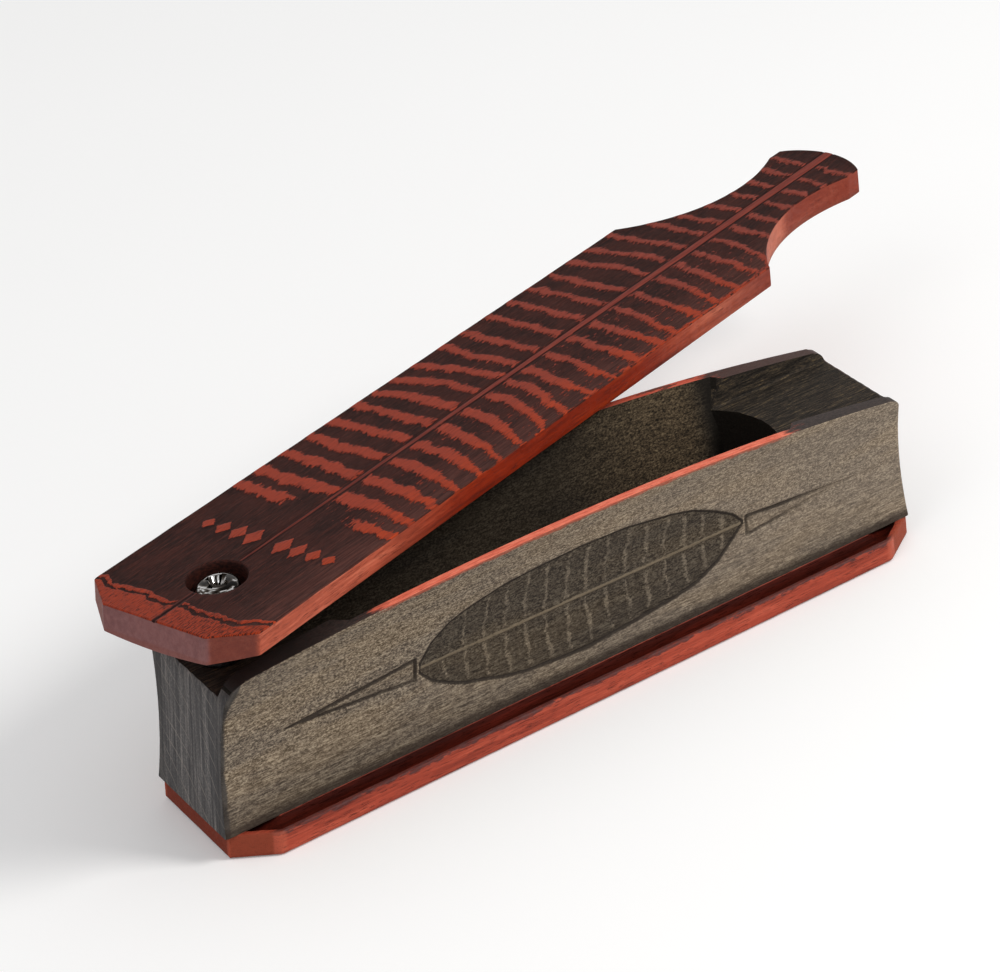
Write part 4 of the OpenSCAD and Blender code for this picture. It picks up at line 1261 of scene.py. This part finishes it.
def mat_chrome():
    """Polished plate with a painted reflection: dark and light streaks in the colour follow the reflected direction.
    """
    g = G("screw_chrome_plate")
    P = g.obj()
    tc = g.n("ShaderNodeTexCoord")
    # painted reflection: noise on the reflected direction picks dark and near-white streaks
    rf = g.noise(tc.outputs["Reflection"], (3.1, 3.1, 3.1), 2.0, 0.5)
    col = g.ramp(rf, [(0.40, srgb(20, 16, 14)), (0.48, srgb(66, 58, 52)), (0.54, srgb(126, 120, 114)), (0.61, srgb(244, 243, 242))])
    b = g.noise(P, (5, 5, 5), 3.0, 0.6)
    col = g.mix(g.ss(g.noise(P, (1.4, 1.4, 1.4), 3.0, 0.6), 0.6, 0.75, 0.0, 0.4), col, srgb(40, 34, 30))
    return g.end(col, g.mixf(b, 0.06, 0.16), g.bump(b, 0.000006, 0.5), Metallic=1.0)


chrome = mat_chrome()
screw = build_screw()
screw.data.materials.append(chrome)
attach(screw, "box")
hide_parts("pivot_screw")

dark = metal("washer_dark_steel", srgb(42, 40, 40), srgb(66, 64, 64), 0.4, 0.6)
steel = metal("spring_steel_wire", srgb(150, 152, 158), srgb(200, 202, 206), 0.2, 0.38)

w1 = build_washer("head_washer_steel", 5.6, 2.46, 0.5, Matrix.Translation((PX * MM, 0, (HEAD_Z - 0.52) * MM)))
w1.data.materials.append(dark)
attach(w1, "swivel"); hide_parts("head_washer")
w2 = build_washer("seat_washer_steel", 5.6, 2.6, 0.8, Matrix.Translation((PX * MM, 0, 32.0 * MM)))
w2.data.materials.append(dark)
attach(w2, "box"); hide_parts("seat_washer")
w3 = build_washer("lid_washer_steel", 5.6, 3.0, 0.8, LID @ Matrix.Translation((0, 0, -7.0 * MM)))
w3.data.materials.append(dark)
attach(w3, "paddle"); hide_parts("lid_washer")

spring = build_spring()
spring.data.materials.append(steel)
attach(spring, "swivel")
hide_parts("pivot_spring")
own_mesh(spring)

for o in (lid, box, base):
    tidy(o)
tidy(screw, slivers=True)

# ------------------------------------------------------------------- stage
floor_me = bpy.data.meshes.new("floor")
S = 60.0
floor_me.from_pydata([(-S, -S, -0.0002), (S, -S, -0.0002), (S, S, -0.0002), (-S, S, -0.0002)], [], [(0, 1, 2, 3)])
floor = bpy.data.objects.new("floor", floor_me)
bpy.context.scene.collection.objects.link(floor)
g = G("floor_pale")
P = g.obj()
fn = g.noise(P, (0.004, 0.004, 0.004), 3.0, 0.5)
floor_me.materials.append(g.end(g.mix(fn, (0.9, 0.9, 0.9, 1), (0.93, 0.93, 0.93, 1)), 0.9, None, Specular_IOR_Level=0.05, Emission_Color=(1, 1, 1, 1), Emission_Strength=0.13))

world = bpy.data.worlds.new("studio")
bpy.context.scene.world = world
world.use_nodes = True
bgn = world.node_tree.nodes["Background"]
bgn.inputs[0].default_value = (1.0, 1.0, 1.0, 1)
bgn.inputs[1].default_value = 0.55


def area(name, loc, target, size, power, color=(1, 1, 1)):
    d = bpy.data.lights.new(name, "AREA")
    d.shape, d.size, d.energy, d.color = "DISK", size, power, color
    o = bpy.data.objects.new(name, d)
    o.location = loc
    o.rotation_mode = "QUATERNION"
    o.rotation_quaternion = (Vector(target) - Vector(loc)).to_track_quat("-Z", "Y")
    bpy.context.scene.collection.objects.link(o)


area("key", (0.85, -0.85, 0.95), (0, 0, 0.02), 0.6, 13, (1.0, 0.98, 0.95))
area("fill", (-1.4, -0.5, 1.2), (0, 0, 0.02), 1.2, 4, (0.93, 0.96, 1.0))

# ------------------------------------------------------------------ camera
rot = Vector((1.3515369966362014, -0.49544099322491447, 0.4269493578991384))
R3 = Matrix.Rotation(rot.length, 3, rot.normalized())
T3 = Vector((-118.4601693859968, 721.5893762355803, 951.7626182281668))
centre = -(R3.transposed() @ T3) * MM - Vector((0.092, 0, 0))
cam_data = bpy.data.cameras.new("camera")
cam = bpy.data.objects.new("camera", cam_data)
bpy.context.scene.collection.objects.link(cam)
cols = Matrix((R3[0], -R3[1], -R3[2])).transposed().to_4x4()
cam.matrix_world = Matrix.Translation(centre) @ cols
cam_data.sensor_fit = "HORIZONTAL"
cam_data.sensor_width = 36.0
cam_data.lens = 4308.868588456597 * 36.0 / 1000.0
cam_data.clip_start, cam_data.clip_end = 0.05, 200.0
bpy.context.scene.camera = cam
# Lens shift of the main viewpoint. It holds only while the camera stands there,
# so a camera moved to any other viewpoint looks straight ahead.
mark = bpy.data.objects.new("viewpoint", None)
mark.location = centre
bpy.context.scene.collection.objects.link(mark)
bpy.context.view_layer.update()
for prop, val in (("shift_x", (500 - 734.3504403630347) / 1000), ("shift_y", (-2439.6793180485683 - 486) / 1000)):
    fc = cam_data.driver_add(prop)
    for md in list(fc.modifiers):
        fc.modifiers.remove(md)
    while len(fc.keyframe_points):
        fc.keyframe_points.remove(fc.keyframe_points[0])
    fc.driver.type = "SUM"
    var = fc.driver.variables.new()
    var.type = "LOC_DIFF"
    var.targets[0].id = cam
    var.targets[1].id = mark
    fc.keyframe_points.add(2)
    for kp, (u, v) in zip(fc.keyframe_points, ((0.0, val), (0.03, 0.0))):
        kp.co = (u, v)
        kp.interpolation = "CONSTANT"
    fc.extrapolation = "CONSTANT"
    fc.update()

sc = bpy.context.scene
sc.view_settings.view_transform = "Standard"
sc.view_settings.look = "None"
sc.view_settings.exposure = 0.0
sc.view_settings.gamma = 1.0
